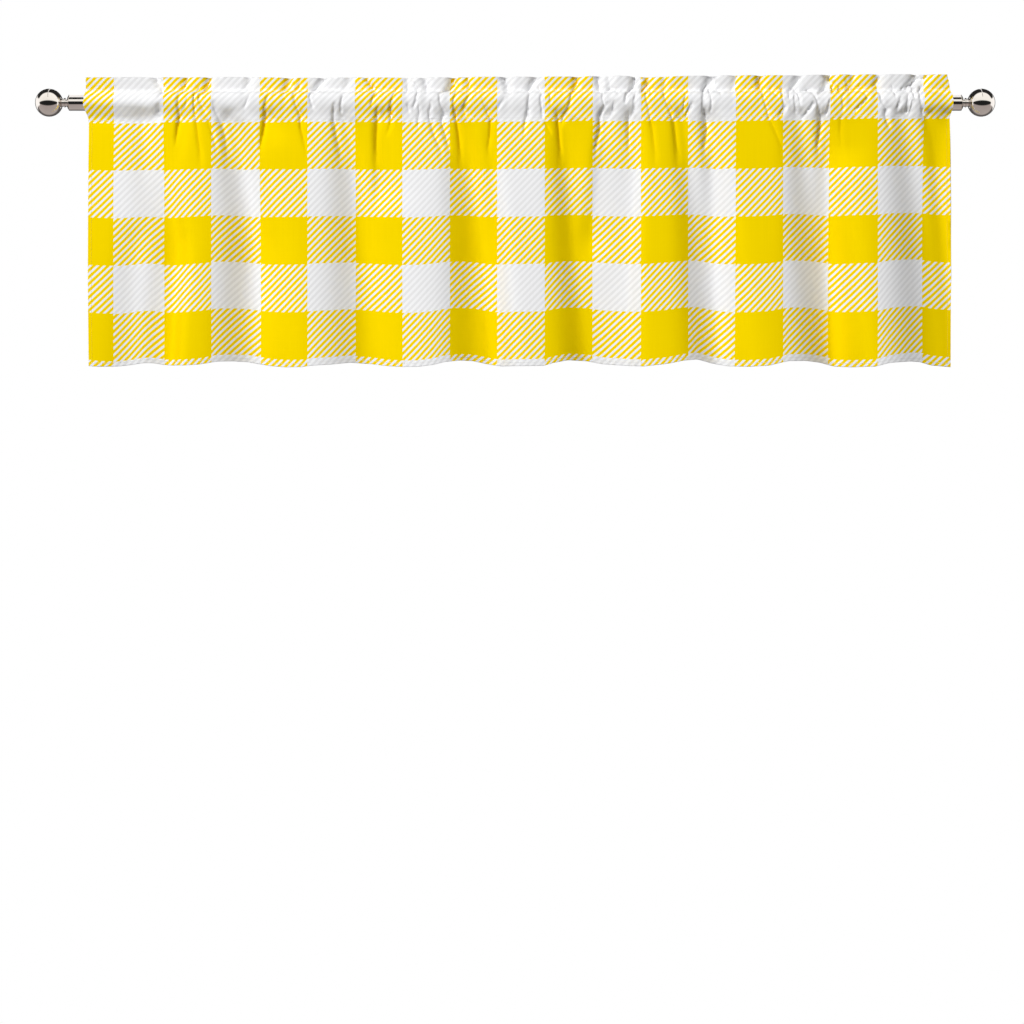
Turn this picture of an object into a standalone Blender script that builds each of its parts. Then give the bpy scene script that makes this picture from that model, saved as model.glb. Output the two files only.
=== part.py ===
"""Window valance gathered on a curtain rod.

A checked valance hangs from a round steel tube by a rod pocket, with a ruffled header
above the pocket. A turned ball finial plugs each end of the tube.

Metres, +Z up. The origin is on the rod's axis, half way along it. X runs along the rod and
-Y is the front of the cloth.
"""

import math
from collections import namedtuple

import bmesh
import bpy
from mathutils import Matrix, Vector

# Rod: a steel tube.
ROD_RADIUS = 0.0127
ROD_WALL = 0.0008
ROD_LENGTH = 1.415
ROD_SIDES = 32

# Finials: a ball, a neck with a bead, a coned collar as wide as the tube, and a plug in it.
OVERALL_LENGTH = 1.524
BALL_RADIUS = 0.0221
BALL_STEPS = 11
NECK_RADIUS = 0.0064
BEAD_RADIUS = 0.0076
BEAD_WIDTH = 0.0024
COLLAR_LENGTH = 0.0027
COLLAR_END_RADIUS = 0.0085
PLUG_RADIUS = 0.0115
PLUG_LENGTH = 0.016
PLUG_CHAMFER = 0.001
SEAT_GAP = 0.0003
FINIAL_SIDES = 28

# Cloth: one layer, the doubled hems and header, and the clearance inside the pocket.
LAYER = 0.0011
DOUBLED = 0.0021
HEM_HEIGHT = 0.006
HEM_STEP = 0.002
POCKET_INNER_RADIUS = 0.01335
POCKET_MIDDLE = POCKET_INNER_RADIUS + LAYER / 2.0
TURNED_EDGE = 0.008

# Heights of the stitch lines and of the bottom edge, from the rod's axis.
UPPER_STITCH = 0.0186
LOWER_STITCH_LEFT = -0.0259
LOWER_STITCH_RIGHT = -0.0187
SEAM_MARGIN = 0.0009
BOTTOM_EDGE = -0.4200

# The outer corners of the cloth at each height, left and right of the rod's middle.
Edge = namedtuple("Edge", "z left right")
SIDE_EDGES = (
    Edge(-0.4200, -0.6750, 0.6951),
    Edge(-0.2810, -0.6764, 0.6958),
    Edge(-0.1545, -0.6764, 0.6934),
    Edge(-0.0370, -0.6764, 0.6898),
    Edge(-0.0235, -0.6772, 0.6893),
    Edge(-0.0156, -0.6810, 0.6919),
    Edge(-0.0050, -0.6846, 0.6941),
    Edge(0.0110, -0.6835, 0.6935),
    Edge(0.0186, -0.6812, 0.6903),
    Edge(0.0340, -0.6812, 0.6877),
    Edge(0.0400, -0.6810, 0.6845),
)

# The header's top edge, which climbs to the right.
HeaderTop = namedtuple("HeaderTop", "x z")
HEADER_TOP = (
    HeaderTop(-0.681, 0.0392),
    HeaderTop(-0.440, 0.0396),
    HeaderTop(-0.330, 0.0384),
    HeaderTop(-0.230, 0.0393),
    HeaderTop(-0.172, 0.0384),
    HeaderTop(-0.060, 0.0400),
    HeaderTop(0.090, 0.0402),
    HeaderTop(0.165, 0.0415),
    HeaderTop(0.226, 0.0397),
    HeaderTop(0.284, 0.0413),
    HeaderTop(0.400, 0.0427),
    HeaderTop(0.436, 0.0419),
    HeaderTop(0.500, 0.0433),
    HeaderTop(0.650, 0.0440),
    HeaderTop(0.687, 0.0435),
)

# The hem's line, which rises where the folds go back.
HemPoint = namedtuple("HemPoint", "x z")
HEM_LINE = (
    HemPoint(-0.678, -0.4183),
    HemPoint(-0.659, -0.4194),
    HemPoint(-0.631, -0.4188),
    HemPoint(-0.612, -0.4167),
    HemPoint(-0.591, -0.4131),
    HemPoint(-0.577, -0.4128),
    HemPoint(-0.551, -0.4163),
    HemPoint(-0.524, -0.4174),
    HemPoint(-0.500, -0.4158),
    HemPoint(-0.472, -0.4107),
    HemPoint(-0.448, -0.4098),
    HemPoint(-0.426, -0.4105),
    HemPoint(-0.405, -0.4142),
    HemPoint(-0.389, -0.4172),
    HemPoint(-0.364, -0.4198),
    HemPoint(-0.337, -0.4198),
    HemPoint(-0.324, -0.4177),
    HemPoint(-0.292, -0.4156),
    HemPoint(-0.262, -0.4120),
    HemPoint(-0.229, -0.4139),
    HemPoint(-0.205, -0.4171),
    HemPoint(-0.180, -0.4190),
    HemPoint(-0.154, -0.4191),
    HemPoint(-0.130, -0.4163),
    HemPoint(-0.113, -0.4118),
    HemPoint(-0.088, -0.4088),
    HemPoint(-0.067, -0.4093),
    HemPoint(-0.040, -0.4147),
    HemPoint(-0.021, -0.4177),
    HemPoint(0.011, -0.4183),
    HemPoint(0.046, -0.4177),
    HemPoint(0.060, -0.4134),
    HemPoint(0.084, -0.4085),
    HemPoint(0.114, -0.4091),
    HemPoint(0.139, -0.4136),
    HemPoint(0.170, -0.4161),
    HemPoint(0.204, -0.4188),
    HemPoint(0.243, -0.4145),
    HemPoint(0.266, -0.4096),
    HemPoint(0.289, -0.4069),
    HemPoint(0.312, -0.4123),
    HemPoint(0.339, -0.4172),
    HemPoint(0.370, -0.4193),
    HemPoint(0.401, -0.4178),
    HemPoint(0.433, -0.4102),
    HemPoint(0.462, -0.4094),
    HemPoint(0.487, -0.4115),
    HemPoint(0.509, -0.4167),
    HemPoint(0.538, -0.4191),
    HemPoint(0.570, -0.4191),
    HemPoint(0.593, -0.4131),
    HemPoint(0.627, -0.4101),
    HemPoint(0.644, -0.4107),
    HemPoint(0.662, -0.4156),
    HemPoint(0.695, -0.4182),
)

# Folds of the panel that go back, away from the viewer. x_top, x_mid and x_hem are the
# line that the fold's left flank follows from the pocket's seam to the hem; its bottom
# leans to the right of that line. width is the flank's, near the seam and then left and
# right of the fold at the hem. opens and closes are the shares of the drop where the fold
# begins and ends.
Fold = namedtuple(
    "Fold", "x_top x_mid x_hem depth_top depth_hem width_top left_hem right_hem opens closes"
)
FOLDS = (
    Fold(-0.642, -0.622, -0.638, 0.012, 0.007, 0.014, 0.031, 0.024, 0.4, 2.0),
    Fold(-0.601, -0.569, -0.583, 0.007, 0.024, 0.030, 0.051, 0.012, -1.0, 2.0),
    Fold(-0.532, -0.557, -0.541, 0.005, 0.000, 0.010, 0.010, 0.010, -1.0, 0.20),
    Fold(-0.462, -0.442, -0.448, 0.009, 0.039, 0.012, 0.051, 0.048, -1.0, 2.0),
    Fold(-0.396, -0.416, -0.384, 0.007, 0.005, 0.010, 0.010, 0.075, -1.0, 0.15),
    Fold(-0.281, -0.271, -0.265, 0.008, 0.033, 0.012, 0.052, 0.059, -1.0, 2.0),
    Fold(-0.220, -0.225, -0.231, 0.007, 0.012, 0.011, 0.010, 0.075, -1.0, 0.40),
    Fold(-0.122, -0.105, -0.114, 0.004, 0.000, 0.012, 0.022, 0.010, -1.0, 0.55),
    Fold(-0.096, -0.083, -0.081, 0.006, 0.034, 0.011, 0.048, 0.029, -1.0, 2.0),
    Fold(-0.050, -0.042, -0.037, 0.000, 0.014, 0.010, 0.019, 0.019, -1.0, 2.0),
    Fold(0.067, 0.076, 0.093, 0.007, 0.027, 0.011, 0.034, 0.064, -1.0, 2.0),
    Fold(0.136, 0.111, 0.120, 0.010, 0.009, 0.011, 0.019, 0.045, -1.0, 0.60),
    Fold(0.175, 0.142, 0.127, 0.008, 0.019, 0.010, 0.070, 0.017, -1.0, 2.0),
    Fold(0.255, 0.271, 0.284, 0.007, 0.021, 0.011, 0.033, 0.033, -1.0, 2.0),
    Fold(0.298, 0.303, 0.315, 0.012, 0.026, 0.012, 0.028, 0.033, -1.0, 2.0),
    Fold(0.425, 0.405, 0.423, 0.002, 0.000, 0.011, 0.013, 0.010, -1.0, 0.30),
    Fold(0.440, 0.451, 0.463, 0.010, 0.027, 0.012, 0.041, 0.040, -1.0, 2.0),
    Fold(0.480, 0.487, 0.496, 0.012, 0.033, 0.011, 0.032, 0.033, -1.0, 2.0),
    Fold(0.501, 0.505, 0.521, 0.002, 0.019, 0.011, 0.075, 0.046, -1.0, 0.25),
    Fold(0.602, 0.622, 0.630, 0.012, 0.037, 0.018, 0.054, 0.043, -1.0, 2.0),
    Fold(0.646, 0.675, 0.693, 0.012, 0.034, 0.012, 0.030, 0.049, -1.0, 2.0),
)
FOLD_LEAN = 0.7
TIGHT_CREST = 0.002
GATHERED_CREST = 0.013
FIRST_GATHER = -0.5956
LAST_GATHER = 0.6903
GATHERS_FADE = 0.035
CREST_AT_HEM = 0.0175
FADE = 0.12

# Dents where the gathers pinch the header and the pocket: the place of each at the upper
# seam, and how far it leans to the right on its way up from there.
Gather = namedtuple("Gather", "x slant header_depth pocket_pinch width")
GATHERS = (
    Gather(-0.558, -0.010, 0.008, 0.7, 0.008),
    Gather(-0.527, 0.007, 0.007, 0.9, 0.008),
    Gather(-0.493, 0.009, 0.009, 1.0, 0.008),
    Gather(-0.428, 0.010, 0.006, 0.8, 0.008),
    Gather(-0.365, 0.007, 0.008, 1.0, 0.008),
    Gather(-0.319, 0.017, 0.009, 1.0, 0.008),
    Gather(-0.271, 0.012, 0.005, 0.8, 0.008),
    Gather(-0.223, -0.009, 0.008, 1.0, 0.008),
    Gather(-0.171, 0.001, 0.006, 0.8, 0.008),
    Gather(-0.141, -0.001, 0.008, 1.0, 0.008),
    Gather(-0.106, 0.010, 0.011, 1.0, 0.009),
    Gather(-0.076, 0.002, 0.006, 0.8, 0.008),
    Gather(-0.012, -0.001, 0.011, 1.0, 0.008),
    Gather(0.023, 0.012, 0.010, 0.9, 0.008),
    Gather(0.093, 0.007, 0.010, 1.0, 0.008),
    Gather(0.134, 0.001, 0.008, 1.0, 0.008),
    Gather(0.151, -0.002, 0.008, 0.7, 0.008),
    Gather(0.186, 0.006, 0.012, 1.0, 0.009),
    Gather(0.204, 0.009, 0.011, 0.8, 0.009),
    Gather(0.237, 0.001, 0.005, 0.8, 0.008),
    Gather(0.301, 0.012, 0.013, 1.0, 0.009),
    Gather(0.345, 0.007, 0.007, 0.6, 0.008),
    Gather(0.389, 0.001, 0.013, 1.0, 0.009),
    Gather(0.435, 0.017, 0.009, 1.0, 0.008),
    Gather(0.488, 0.013, 0.013, 1.0, 0.009),
    Gather(0.531, 0.007, 0.008, 0.9, 0.008),
    Gather(0.572, 0.006, 0.009, 1.0, 0.008),
    Gather(0.621, 0.017, 0.013, 1.0, 0.009),
    Gather(0.643, 0.012, 0.009, 0.8, 0.008),
)
WIDTH_AT_SEAM = 0.6
HEADER_FORWARD = 0.0030
SEAM_SHARE = 0.2
POCKET_SLACK = 0.005

# How finely the cloth is divided: stations along the rod, and rows up the cloth.
STATIONS = 101
PANEL_ROWS = (0.80, 0.60, 0.42, 0.26, 0.12)
POCKET_ROWS = tuple(i / 7.0 for i in range(1, 7))
HEADER_ROWS = (0.0, 0.5, 1.0)

CHECK_YELLOW = (0.93, 0.72, 0.01, 1.0)
POLISHED_NICKEL = (0.62, 0.60, 0.58, 1.0)


def clear_scene():
    """Remove what a new file starts with."""
    for thing in list(bpy.data.objects):
        bpy.data.objects.remove(thing, do_unlink=True)


def finish_material(name, colour, roughness, metallic):
    """A plain Principled material."""
    material = bpy.data.materials.new(name)
    material.use_nodes = True
    shader = material.node_tree.nodes["Principled BSDF"]
    shader.inputs["Base Color"].default_value = colour
    shader.inputs["Roughness"].default_value = roughness
    shader.inputs["Metallic"].default_value = metallic
    return material


def add_object(name, bm, material, sharp_angle):
    """Turn a bmesh into a shaded object of its own."""
    bmesh.ops.recalc_face_normals(bm, faces=bm.faces)
    mesh = bpy.data.meshes.new(name)
    bm.to_mesh(mesh)
    bm.free()
    mesh.materials.append(material)
    mesh.shade_smooth()
    mesh.set_sharp_from_angle(angle=math.radians(sharp_angle))
    piece = bpy.data.objects.new(name, mesh)
    bpy.context.scene.collection.objects.link(piece)
    return piece


def blend(a, b, share):
    """The value a share of the way from a to b."""
    return a + (b - a) * share


def ease(share):
    """A share from 0 to 1 with a soft start and end, held at both."""
    held = min(1.0, max(0.0, share))
    return held * held * (3.0 - 2.0 * held)


def read_table(rows, key, column, at):
    """Read a column of a table between its rows, held at both ends."""
    if at <= getattr(rows[0], key):
        return getattr(rows[0], column)
    for low, high in zip(rows, rows[1:]):
        if at <= getattr(high, key):
            share = (at - getattr(low, key)) / (getattr(high, key) - getattr(low, key))
            return blend(getattr(low, column), getattr(high, column), share)
    return getattr(rows[-1], column)


def bump(distance, width):
    """A bump, 1 at its middle and near 0 at twice its width."""
    return math.exp(-((distance / width) ** 2))


# ------------------------------------------------------------------ the cloth's form


def across(u, z):
    """The place along the rod of a share u of the cloth's width at a height."""
    left = read_table(SIDE_EDGES, "z", "left", z)
    right = read_table(SIDE_EDGES, "z", "right", z)
    return blend(left, right, u)


def lower_stitch(x):
    """Height of the pocket's lower seam, which climbs a little to the right."""
    share = (x - SIDE_EDGES[0].left) / (SIDE_EDGES[0].right - SIDE_EDGES[0].left)
    return blend(LOWER_STITCH_LEFT, LOWER_STITCH_RIGHT, share)


def fold_line(fold, drop):
    """Where along the rod a fold lies at a share of the drop."""
    upper = blend(fold.x_top, fold.x_mid, min(1.0, 2.0 * drop))
    return upper + (fold.x_hem - fold.x_mid) * max(0.0, 2.0 * drop - 1.0)


def fold_depth(x, drop):
    """How far all the folds carry the panel back from its crests."""
    opening = 1.0 - (1.0 - drop) ** 3
    total = 0.0
    for fold in FOLDS:
        left = blend(fold.width_top, fold.left_hem, drop ** 0.5)
        right = blend(fold.width_top, fold.right_hem, drop ** 0.5)
        away = x - fold_line(fold, drop) - FOLD_LEAN * left
        depth = blend(fold.depth_top, fold.depth_hem, opening)
        present = ease((drop - fold.opens) / FADE) * ease((fold.closes - drop) / FADE)
        total += depth * present * bump(away, left if away < 0.0 else right)
    return total


def gathered(x):
    """1 where the gathers fill the pocket, 0 at its smooth ends."""
    return ease((x - FIRST_GATHER) / GATHERS_FADE) * ease((LAST_GATHER - x) / GATHERS_FADE)


def panel_y(x, drop):
    """Depth of the panel's middle surface, crests forward."""
    opening = 1.0 - (1.0 - drop) ** 3
    at_seam = blend(TIGHT_CREST, GATHERED_CREST, gathered(x))
    return fold_depth(x, drop) - blend(at_seam, CREST_AT_HEM, opening)


def panel_height(x, drop):
    """Height at a share of the drop."""
    hem = read_table(HEM_LINE, "x", "z", x)
    return blend(lower_stitch(x) - SEAM_MARGIN, hem, drop)


def gather_sum(x, rise, column):
    """Sum of the gathers' dents; rise is -1 and 0 at the pocket's seams and 1 at the top."""
    total = 0.0
    for gather in GATHERS:
        line = gather.x + gather.slant * max(rise, 0.0)
        width = gather.width * blend(WIDTH_AT_SEAM, 1.0, abs(rise))
        total += getattr(gather, column) * bump(x - line, width)
    return total


def header_y(x, rise):
    """Depth of the header's middle surface, 0 at the upper seam and 1 at the top."""
    ruffle = gather_sum(x, rise, "header_depth") - HEADER_FORWARD
    return ruffle * blend(SEAM_SHARE, 1.0, rise)


def side_offset(surface, x, along, thickness):
    """A pair of points half a thickness in front of and behind a surface."""
    reach = 0.002
    slope = (surface(x + reach, along) - surface(x - reach, along)) / (2.0 * reach)
    normal = Vector((-slope, 1.0)).normalized() * thickness / 2.0
    y = surface(x, along)
    return (x - normal.x, y - normal.y), (x + normal.x, y + normal.y)


def seam_turn(y, z, side):
    """Angles from upright of a seam, and of where the cloth from it meets the circle."""
    seam = math.atan2(side * y, abs(z))
    return seam, seam + math.acos(POCKET_MIDDLE / math.hypot(y, z))


def pocket_place(x, radius, share, side):
    """Depth and height of the pocket, a share of the way up from its lower seam.

    The pocket is drawn tight round a circle and runs straight from it to the two seams.
    Between the gathers it stands off the rod. side is -1 in front.
    """
    low, low_meets = seam_turn(panel_y(x, 0.0), lower_stitch(x), side)
    high, high_meets = seam_turn(header_y(x, 0.0), UPPER_STITCH, side)
    angle = blend(max(0.0, low), math.pi - max(0.0, high), share)
    off_circle = max(0.0, low_meets - angle, angle - math.pi + high_meets)
    pinch = min(1.0, gather_sum(x, share - 1.0, "pocket_pinch"))
    lift = POCKET_SLACK * (1.0 - pinch) * math.sin(math.pi * share) * gathered(x)
    reach = radius / math.cos(off_circle) + lift
    return side * reach * math.sin(angle), -reach * math.cos(angle)


def is_side_hem(u, width):
    """Whether a share of the width lies in a side hem."""
    return min(u, 1.0 - u) * width <= HEM_HEIGHT * 1.01


def panel_rows(x):
    """Shares of the drop from the hem up, each with whether the cloth is doubled there."""
    drop = lower_stitch(x) - BOTTOM_EDGE
    hem_top = 1.0 - HEM_HEIGHT / drop
    rows = [(1.0, True), (hem_top, True), (hem_top - HEM_STEP / drop, False)]
    rows += [(row, False) for row in PANEL_ROWS]
    rows += [(TURNED_EDGE / drop, False), (0.0, True)]
    return rows


def section(u):
    """The cloth's outline and its pocket at a share u of the width."""
    width = SIDE_EDGES[0].right - SIDE_EDGES[0].left
    side_hem = is_side_hem(u, width)
    front, back, inner_front, inner_back = [], [], [], []

    guess = across(u, UPPER_STITCH)
    for drop, doubled in panel_rows(guess):
        x = across(u, panel_height(across(u, BOTTOM_EDGE * drop), drop))
        thickness = DOUBLED if doubled or side_hem else LAYER
        z = panel_height(x, drop)
        for (px, py), side in zip(side_offset(panel_y, x, drop, thickness), (front, back)):
            side.append(Vector((px, py, z)))

    outer_radius = POCKET_INNER_RADIUS + (DOUBLED if side_hem else LAYER)
    for share in POCKET_ROWS:
        for side, outer, inner in ((-1.0, front, inner_front), (1.0, back, inner_back)):
            x = across(u, pocket_place(across(u, 0.0), POCKET_INNER_RADIUS, share, side)[1])
            outer.append(Vector((x, *pocket_place(x, outer_radius, share, side))))
            inner.append(Vector((x, *pocket_place(x, POCKET_INNER_RADIUS, share, side))))

    for rise in HEADER_ROWS:
        base = UPPER_STITCH + SEAM_MARGIN
        z = blend(base, read_table(HEADER_TOP, "x", "z", guess), rise)
        x = across(u, z)
        for (px, py), side in zip(side_offset(header_y, x, rise, DOUBLED), (front, back)):
            side.append(Vector((px, py, z)))

    x = across(u, 0.0)
    inward = POCKET_INNER_RADIUS / POCKET_MIDDLE
    lowest = Vector((x, panel_y(x, 0.0) * inward, lower_stitch(x) * inward))
    highest = Vector((x, header_y(x, 0.0) * inward, UPPER_STITCH * inward))
    outline = front + back[::-1]
    pocket = [lowest] + inner_front + [highest] + inner_back[::-1]
    return outline, pocket


def bridge(bm, first, second):
    """Faces between two closed rings of vertices."""
    count = len(first)
    for i in range(count):
        j = (i + 1) % count
        bm.faces.new((first[i], first[j], second[j], second[i]))


def close_end(bm, outline, pocket):
    """Close one end of the cloth, leaving the pocket's mouth open."""
    half = len(outline) // 2
    front = outline[:half]
    back = outline[:half - 1:-1]
    turns = len(POCKET_ROWS)
    lowest = pocket[0]
    highest = pocket[turns + 1]
    inner_front = pocket[1:turns + 1]
    inner_back = pocket[:turns + 1:-1]
    seam = half - len(HEADER_ROWS) - turns - 1
    header = seam + turns + 1

    for i in list(range(seam)) + list(range(header, half - 1)):
        bm.faces.new((front[i], front[i + 1], back[i + 1], back[i]))
    bm.faces.new((front[seam], lowest, back[seam]))
    bm.faces.new((front[header], highest, back[header]))
    for outer, inner in ((front, inner_front), (back, inner_back)):
        wall = outer[seam:header + 1]
        lining = [lowest] + inner + [highest]
        for i in range(len(wall) - 1):
            bm.faces.new((wall[i], wall[i + 1], lining[i + 1], lining[i]))


def make_valance():
    """The valance: panel, hems, rod pocket and header in one piece of cloth."""
    width = SIDE_EDGES[0].right - SIDE_EDGES[0].left
    hem = HEM_HEIGHT / width
    inset = (HEM_HEIGHT + HEM_STEP) / width
    inner = [blend(inset, 1.0 - inset, i / (STATIONS - 1)) for i in range(STATIONS)]
    stations = [0.0, hem] + inner + [1.0 - hem, 1.0]

    bm = bmesh.new()
    outlines, pockets = [], []
    for u in stations:
        outline, pocket = section(u)
        outlines.append([bm.verts.new(point) for point in outline])
        pockets.append([bm.verts.new(point) for point in pocket])
    for rings in (outlines, pockets):
        for first, second in zip(rings, rings[1:]):
            bridge(bm, first, second)
    for outline, pocket in ((outlines[0], pockets[0]), (outlines[-1], pockets[-1])):
        close_end(bm, outline, pocket)
    bmesh.ops.triangulate(bm, faces=bm.faces, quad_method="SHORT_EDGE")
    cloth = finish_material("check_cloth", CHECK_YELLOW, 0.9, 0.0)
    return add_object("valance", bm, cloth, 60.0)


# ------------------------------------------------------------------ rod and finials


def turn(bm, profile, sides):
    """Turn a profile of (along, radius) points round the X axis; radius 0 is a pole."""
    rings = []
    for along, radius in profile:
        if radius == 0.0:
            rings.append([bm.verts.new((along, 0.0, 0.0))])
            continue
        ring = []
        for i in range(sides):
            spin = 2.0 * math.pi * i / sides
            point = (along, radius * math.sin(spin), radius * math.cos(spin))
            ring.append(bm.verts.new(point))
        rings.append(ring)
    for first, second in zip(rings, rings[1:]):
        if len(first) > 1 and len(second) > 1:
            bridge(bm, first, second)
            continue
        pole, ring = (first, second) if len(first) == 1 else (second, first)
        for i in range(sides):
            bm.faces.new((pole[0], ring[i], ring[(i + 1) % sides]))
    return rings


def make_rod(metal):
    """The tube, open at both ends."""
    half = ROD_LENGTH / 2.0
    bore = ROD_RADIUS - ROD_WALL
    profile = [(-half, bore), (-half, ROD_RADIUS), (half, ROD_RADIUS), (half, bore)]
    bm = bmesh.new()
    rings = turn(bm, profile, ROD_SIDES)
    bridge(bm, rings[-1], rings[0])
    return add_object("rod", bm, metal, 30.0)


def finial_profile():
    """The finial's outline from inside the tube outwards; 0 is the tube's end."""
    ball_centre = (OVERALL_LENGTH - ROD_LENGTH) / 2.0 - BALL_RADIUS
    collar_end = SEAT_GAP + COLLAR_LENGTH
    bead_middle = (collar_end + ball_centre - BALL_RADIUS) / 2.0 + BEAD_WIDTH / 4.0
    profile = [
        (-PLUG_LENGTH, 0.0),
        (-PLUG_LENGTH, PLUG_RADIUS - PLUG_CHAMFER),
        (-PLUG_LENGTH + PLUG_CHAMFER, PLUG_RADIUS),
        (SEAT_GAP, PLUG_RADIUS),
        (SEAT_GAP, ROD_RADIUS),
        (collar_end, COLLAR_END_RADIUS),
        (collar_end, NECK_RADIUS),
        (bead_middle - BEAD_WIDTH / 2.0, NECK_RADIUS),
        (bead_middle, BEAD_RADIUS),
        (bead_middle + BEAD_WIDTH / 2.0, NECK_RADIUS),
    ]
    start = math.asin(NECK_RADIUS / BALL_RADIUS)
    for i in range(BALL_STEPS):
        angle = blend(start, math.pi, i / BALL_STEPS)
        radius = BALL_RADIUS * math.sin(angle)
        profile.append((ball_centre - BALL_RADIUS * math.cos(angle), radius))
    profile.append((ball_centre + BALL_RADIUS, 0.0))
    return profile


def make_finial(name, side, metal):
    """A finial in one end of the tube; side is -1 at the left."""
    bm = bmesh.new()
    turn(bm, finial_profile(), FINIAL_SIDES)
    if side < 0.0:
        bmesh.ops.rotate(bm, verts=bm.verts, matrix=Matrix.Rotation(math.pi, 3, "Z"))
    finial = add_object(name, bm, metal, 30.0)
    finial.location.x = side * ROD_LENGTH / 2.0
    return finial


def main():
    clear_scene()
    make_valance()
    make_rod(finish_material("rod_nickel", POLISHED_NICKEL, 0.2, 1.0))
    finial_nickel = finish_material("finial_nickel", POLISHED_NICKEL, 0.12, 1.0)
    make_finial("finial_left", -1.0, finial_nickel)
    make_finial("finial_right", 1.0, finial_nickel)
    bpy.context.view_layer.update()


main()
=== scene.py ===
"""Looks of a window valance on a curtain rod: cloth, stitching, rod, finials, light.

Metres, +Z up. The origin is on the rod's axis, half way along it. X runs along the rod
and -Y is the front of the cloth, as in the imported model.
"""

import math
from collections import namedtuple

import bmesh
import bpy
import numpy as np
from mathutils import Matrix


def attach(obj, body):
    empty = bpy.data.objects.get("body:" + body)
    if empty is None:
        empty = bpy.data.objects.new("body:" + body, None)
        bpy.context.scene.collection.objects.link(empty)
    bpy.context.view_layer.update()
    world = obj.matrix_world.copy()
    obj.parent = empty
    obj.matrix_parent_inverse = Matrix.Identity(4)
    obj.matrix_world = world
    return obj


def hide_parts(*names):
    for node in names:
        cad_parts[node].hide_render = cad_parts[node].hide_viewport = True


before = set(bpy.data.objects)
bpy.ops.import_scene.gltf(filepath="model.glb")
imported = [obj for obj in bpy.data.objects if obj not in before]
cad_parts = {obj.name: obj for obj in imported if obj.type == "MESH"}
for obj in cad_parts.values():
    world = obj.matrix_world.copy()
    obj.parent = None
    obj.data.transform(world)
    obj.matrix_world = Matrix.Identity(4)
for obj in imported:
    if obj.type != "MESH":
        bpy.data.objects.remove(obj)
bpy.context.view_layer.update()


def table(columns, *rows):
    """Rows of values with named columns."""
    Line = namedtuple("Line", columns)
    return tuple(Line(*row) for row in rows)


# The photograph is square on: one of its pixels at the rod, and the rod's middle in it.
PIXEL = 0.0015875
PHOTO_SIZE = 1024
ROD_COLUMN = 515.2
ROD_ROW = 102.7
LENS = 120.0
SENSOR = 36.0
CAMERA_REACH = PHOTO_SIZE * PIXEL * LENS / SENSOR
CLIP_END = 50.0

# Rod and finials, as they are made.
ROD_RADIUS = 0.0127
ROD_WALL = 0.0008
ROD_LENGTH = 1.415
ROD_EDGE = 0.0003
OVERALL_LENGTH = 1.524
BALL_RADIUS = 0.0221
BALL_STEPS = 44
NECK_RADIUS = 0.0064
BEAD_RADIUS = 0.0076
BEAD_WIDTH = 0.0024
COLLAR_LENGTH = 0.0027
COLLAR_END_RADIUS = 0.0085
PLUG_RADIUS = 0.0115
PLUG_LENGTH = 0.016
PLUG_CHAMFER = 0.001
SEAT_GAP = 0.0003
METAL_SIDES = 96
BEAD_STEPS = 8
METAL_EDGE = math.radians(32.0)

# Cloth: half of one layer, what a turned hem adds behind it, and the hems.
HALF_LAYER = 0.0003
TURNED_LAYER = 0.0006
HEM_HEIGHT = 0.006
HEM_STEP = 0.0008
HEM_ROUND = 0.0006
HEM_ROUNDING = 1.01
TURNED_EDGE = 0.008
TURNED_FULL = 0.6
FOLDED_EDGE = 0.0004
HEADER_PUFF = 0.0009
PUFF_TOP = 0.85
SEAM_TUCK = 0.0016
POCKET_RADIUS = 0.01445
POCKET_MIDDLE = 0.0139
ROD_CLEARANCE = 0.0005
CLOTH_EDGE = math.radians(75.0)

# Heights of the stitch lines and of the bottom edge, from the rod's axis.
UPPER_STITCH = 0.0186
LOWER_STITCH_LEFT = -0.0259
LOWER_STITCH_RIGHT = -0.0187
SEAM_MARGIN = 0.0009
BOTTOM_EDGE = -0.4200

# How finely the cloth is divided.
STATIONS = 441
FINER = 3
LOWEST_ROW = 0.955
UPPER_PANEL_SHARE = 0.13
HIGHEST_ROW = 0.026
SLOPE_REACH = 0.0006
FRONT_ROWS = (22, 11)
BACK_ROWS = (16, 6)
FRONT_POCKET_ROWS = 17
BACK_POCKET_ROWS = 8
LINING_ROWS = 6
FRONT_HEADER_ROWS = 9
BACK_HEADER_ROWS = 4

# The outer corners of the cloth at each height, left and right of the rod's middle.
SIDE_EDGES = table(
    "z left right",
    (-0.4200, -0.6750, 0.6951),
    (-0.2810, -0.6764, 0.6958),
    (-0.1545, -0.6764, 0.6934),
    (-0.0370, -0.6764, 0.6898),
    (-0.0235, -0.6772, 0.6893),
    (-0.0156, -0.6810, 0.6919),
    (-0.0050, -0.6846, 0.6941),
    (0.0110, -0.6835, 0.6935),
    (0.0186, -0.6812, 0.6903),
    (0.0340, -0.6812, 0.6877),
    (0.0400, -0.6810, 0.6845),
)
HEM_WIDTH = SIDE_EDGES[0].right - SIDE_EDGES[0].left

# The header's top edge, which climbs to the right.
HEADER_TOP = table(
    "x z",
    (-0.681, 0.0392),
    (-0.440, 0.0396),
    (-0.330, 0.0384),
    (-0.230, 0.0393),
    (-0.172, 0.0384),
    (-0.060, 0.0400),
    (0.090, 0.0402),
    (0.165, 0.0415),
    (0.226, 0.0397),
    (0.284, 0.0413),
    (0.400, 0.0427),
    (0.436, 0.0419),
    (0.500, 0.0433),
    (0.650, 0.0440),
    (0.687, 0.0435),
)

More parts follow.
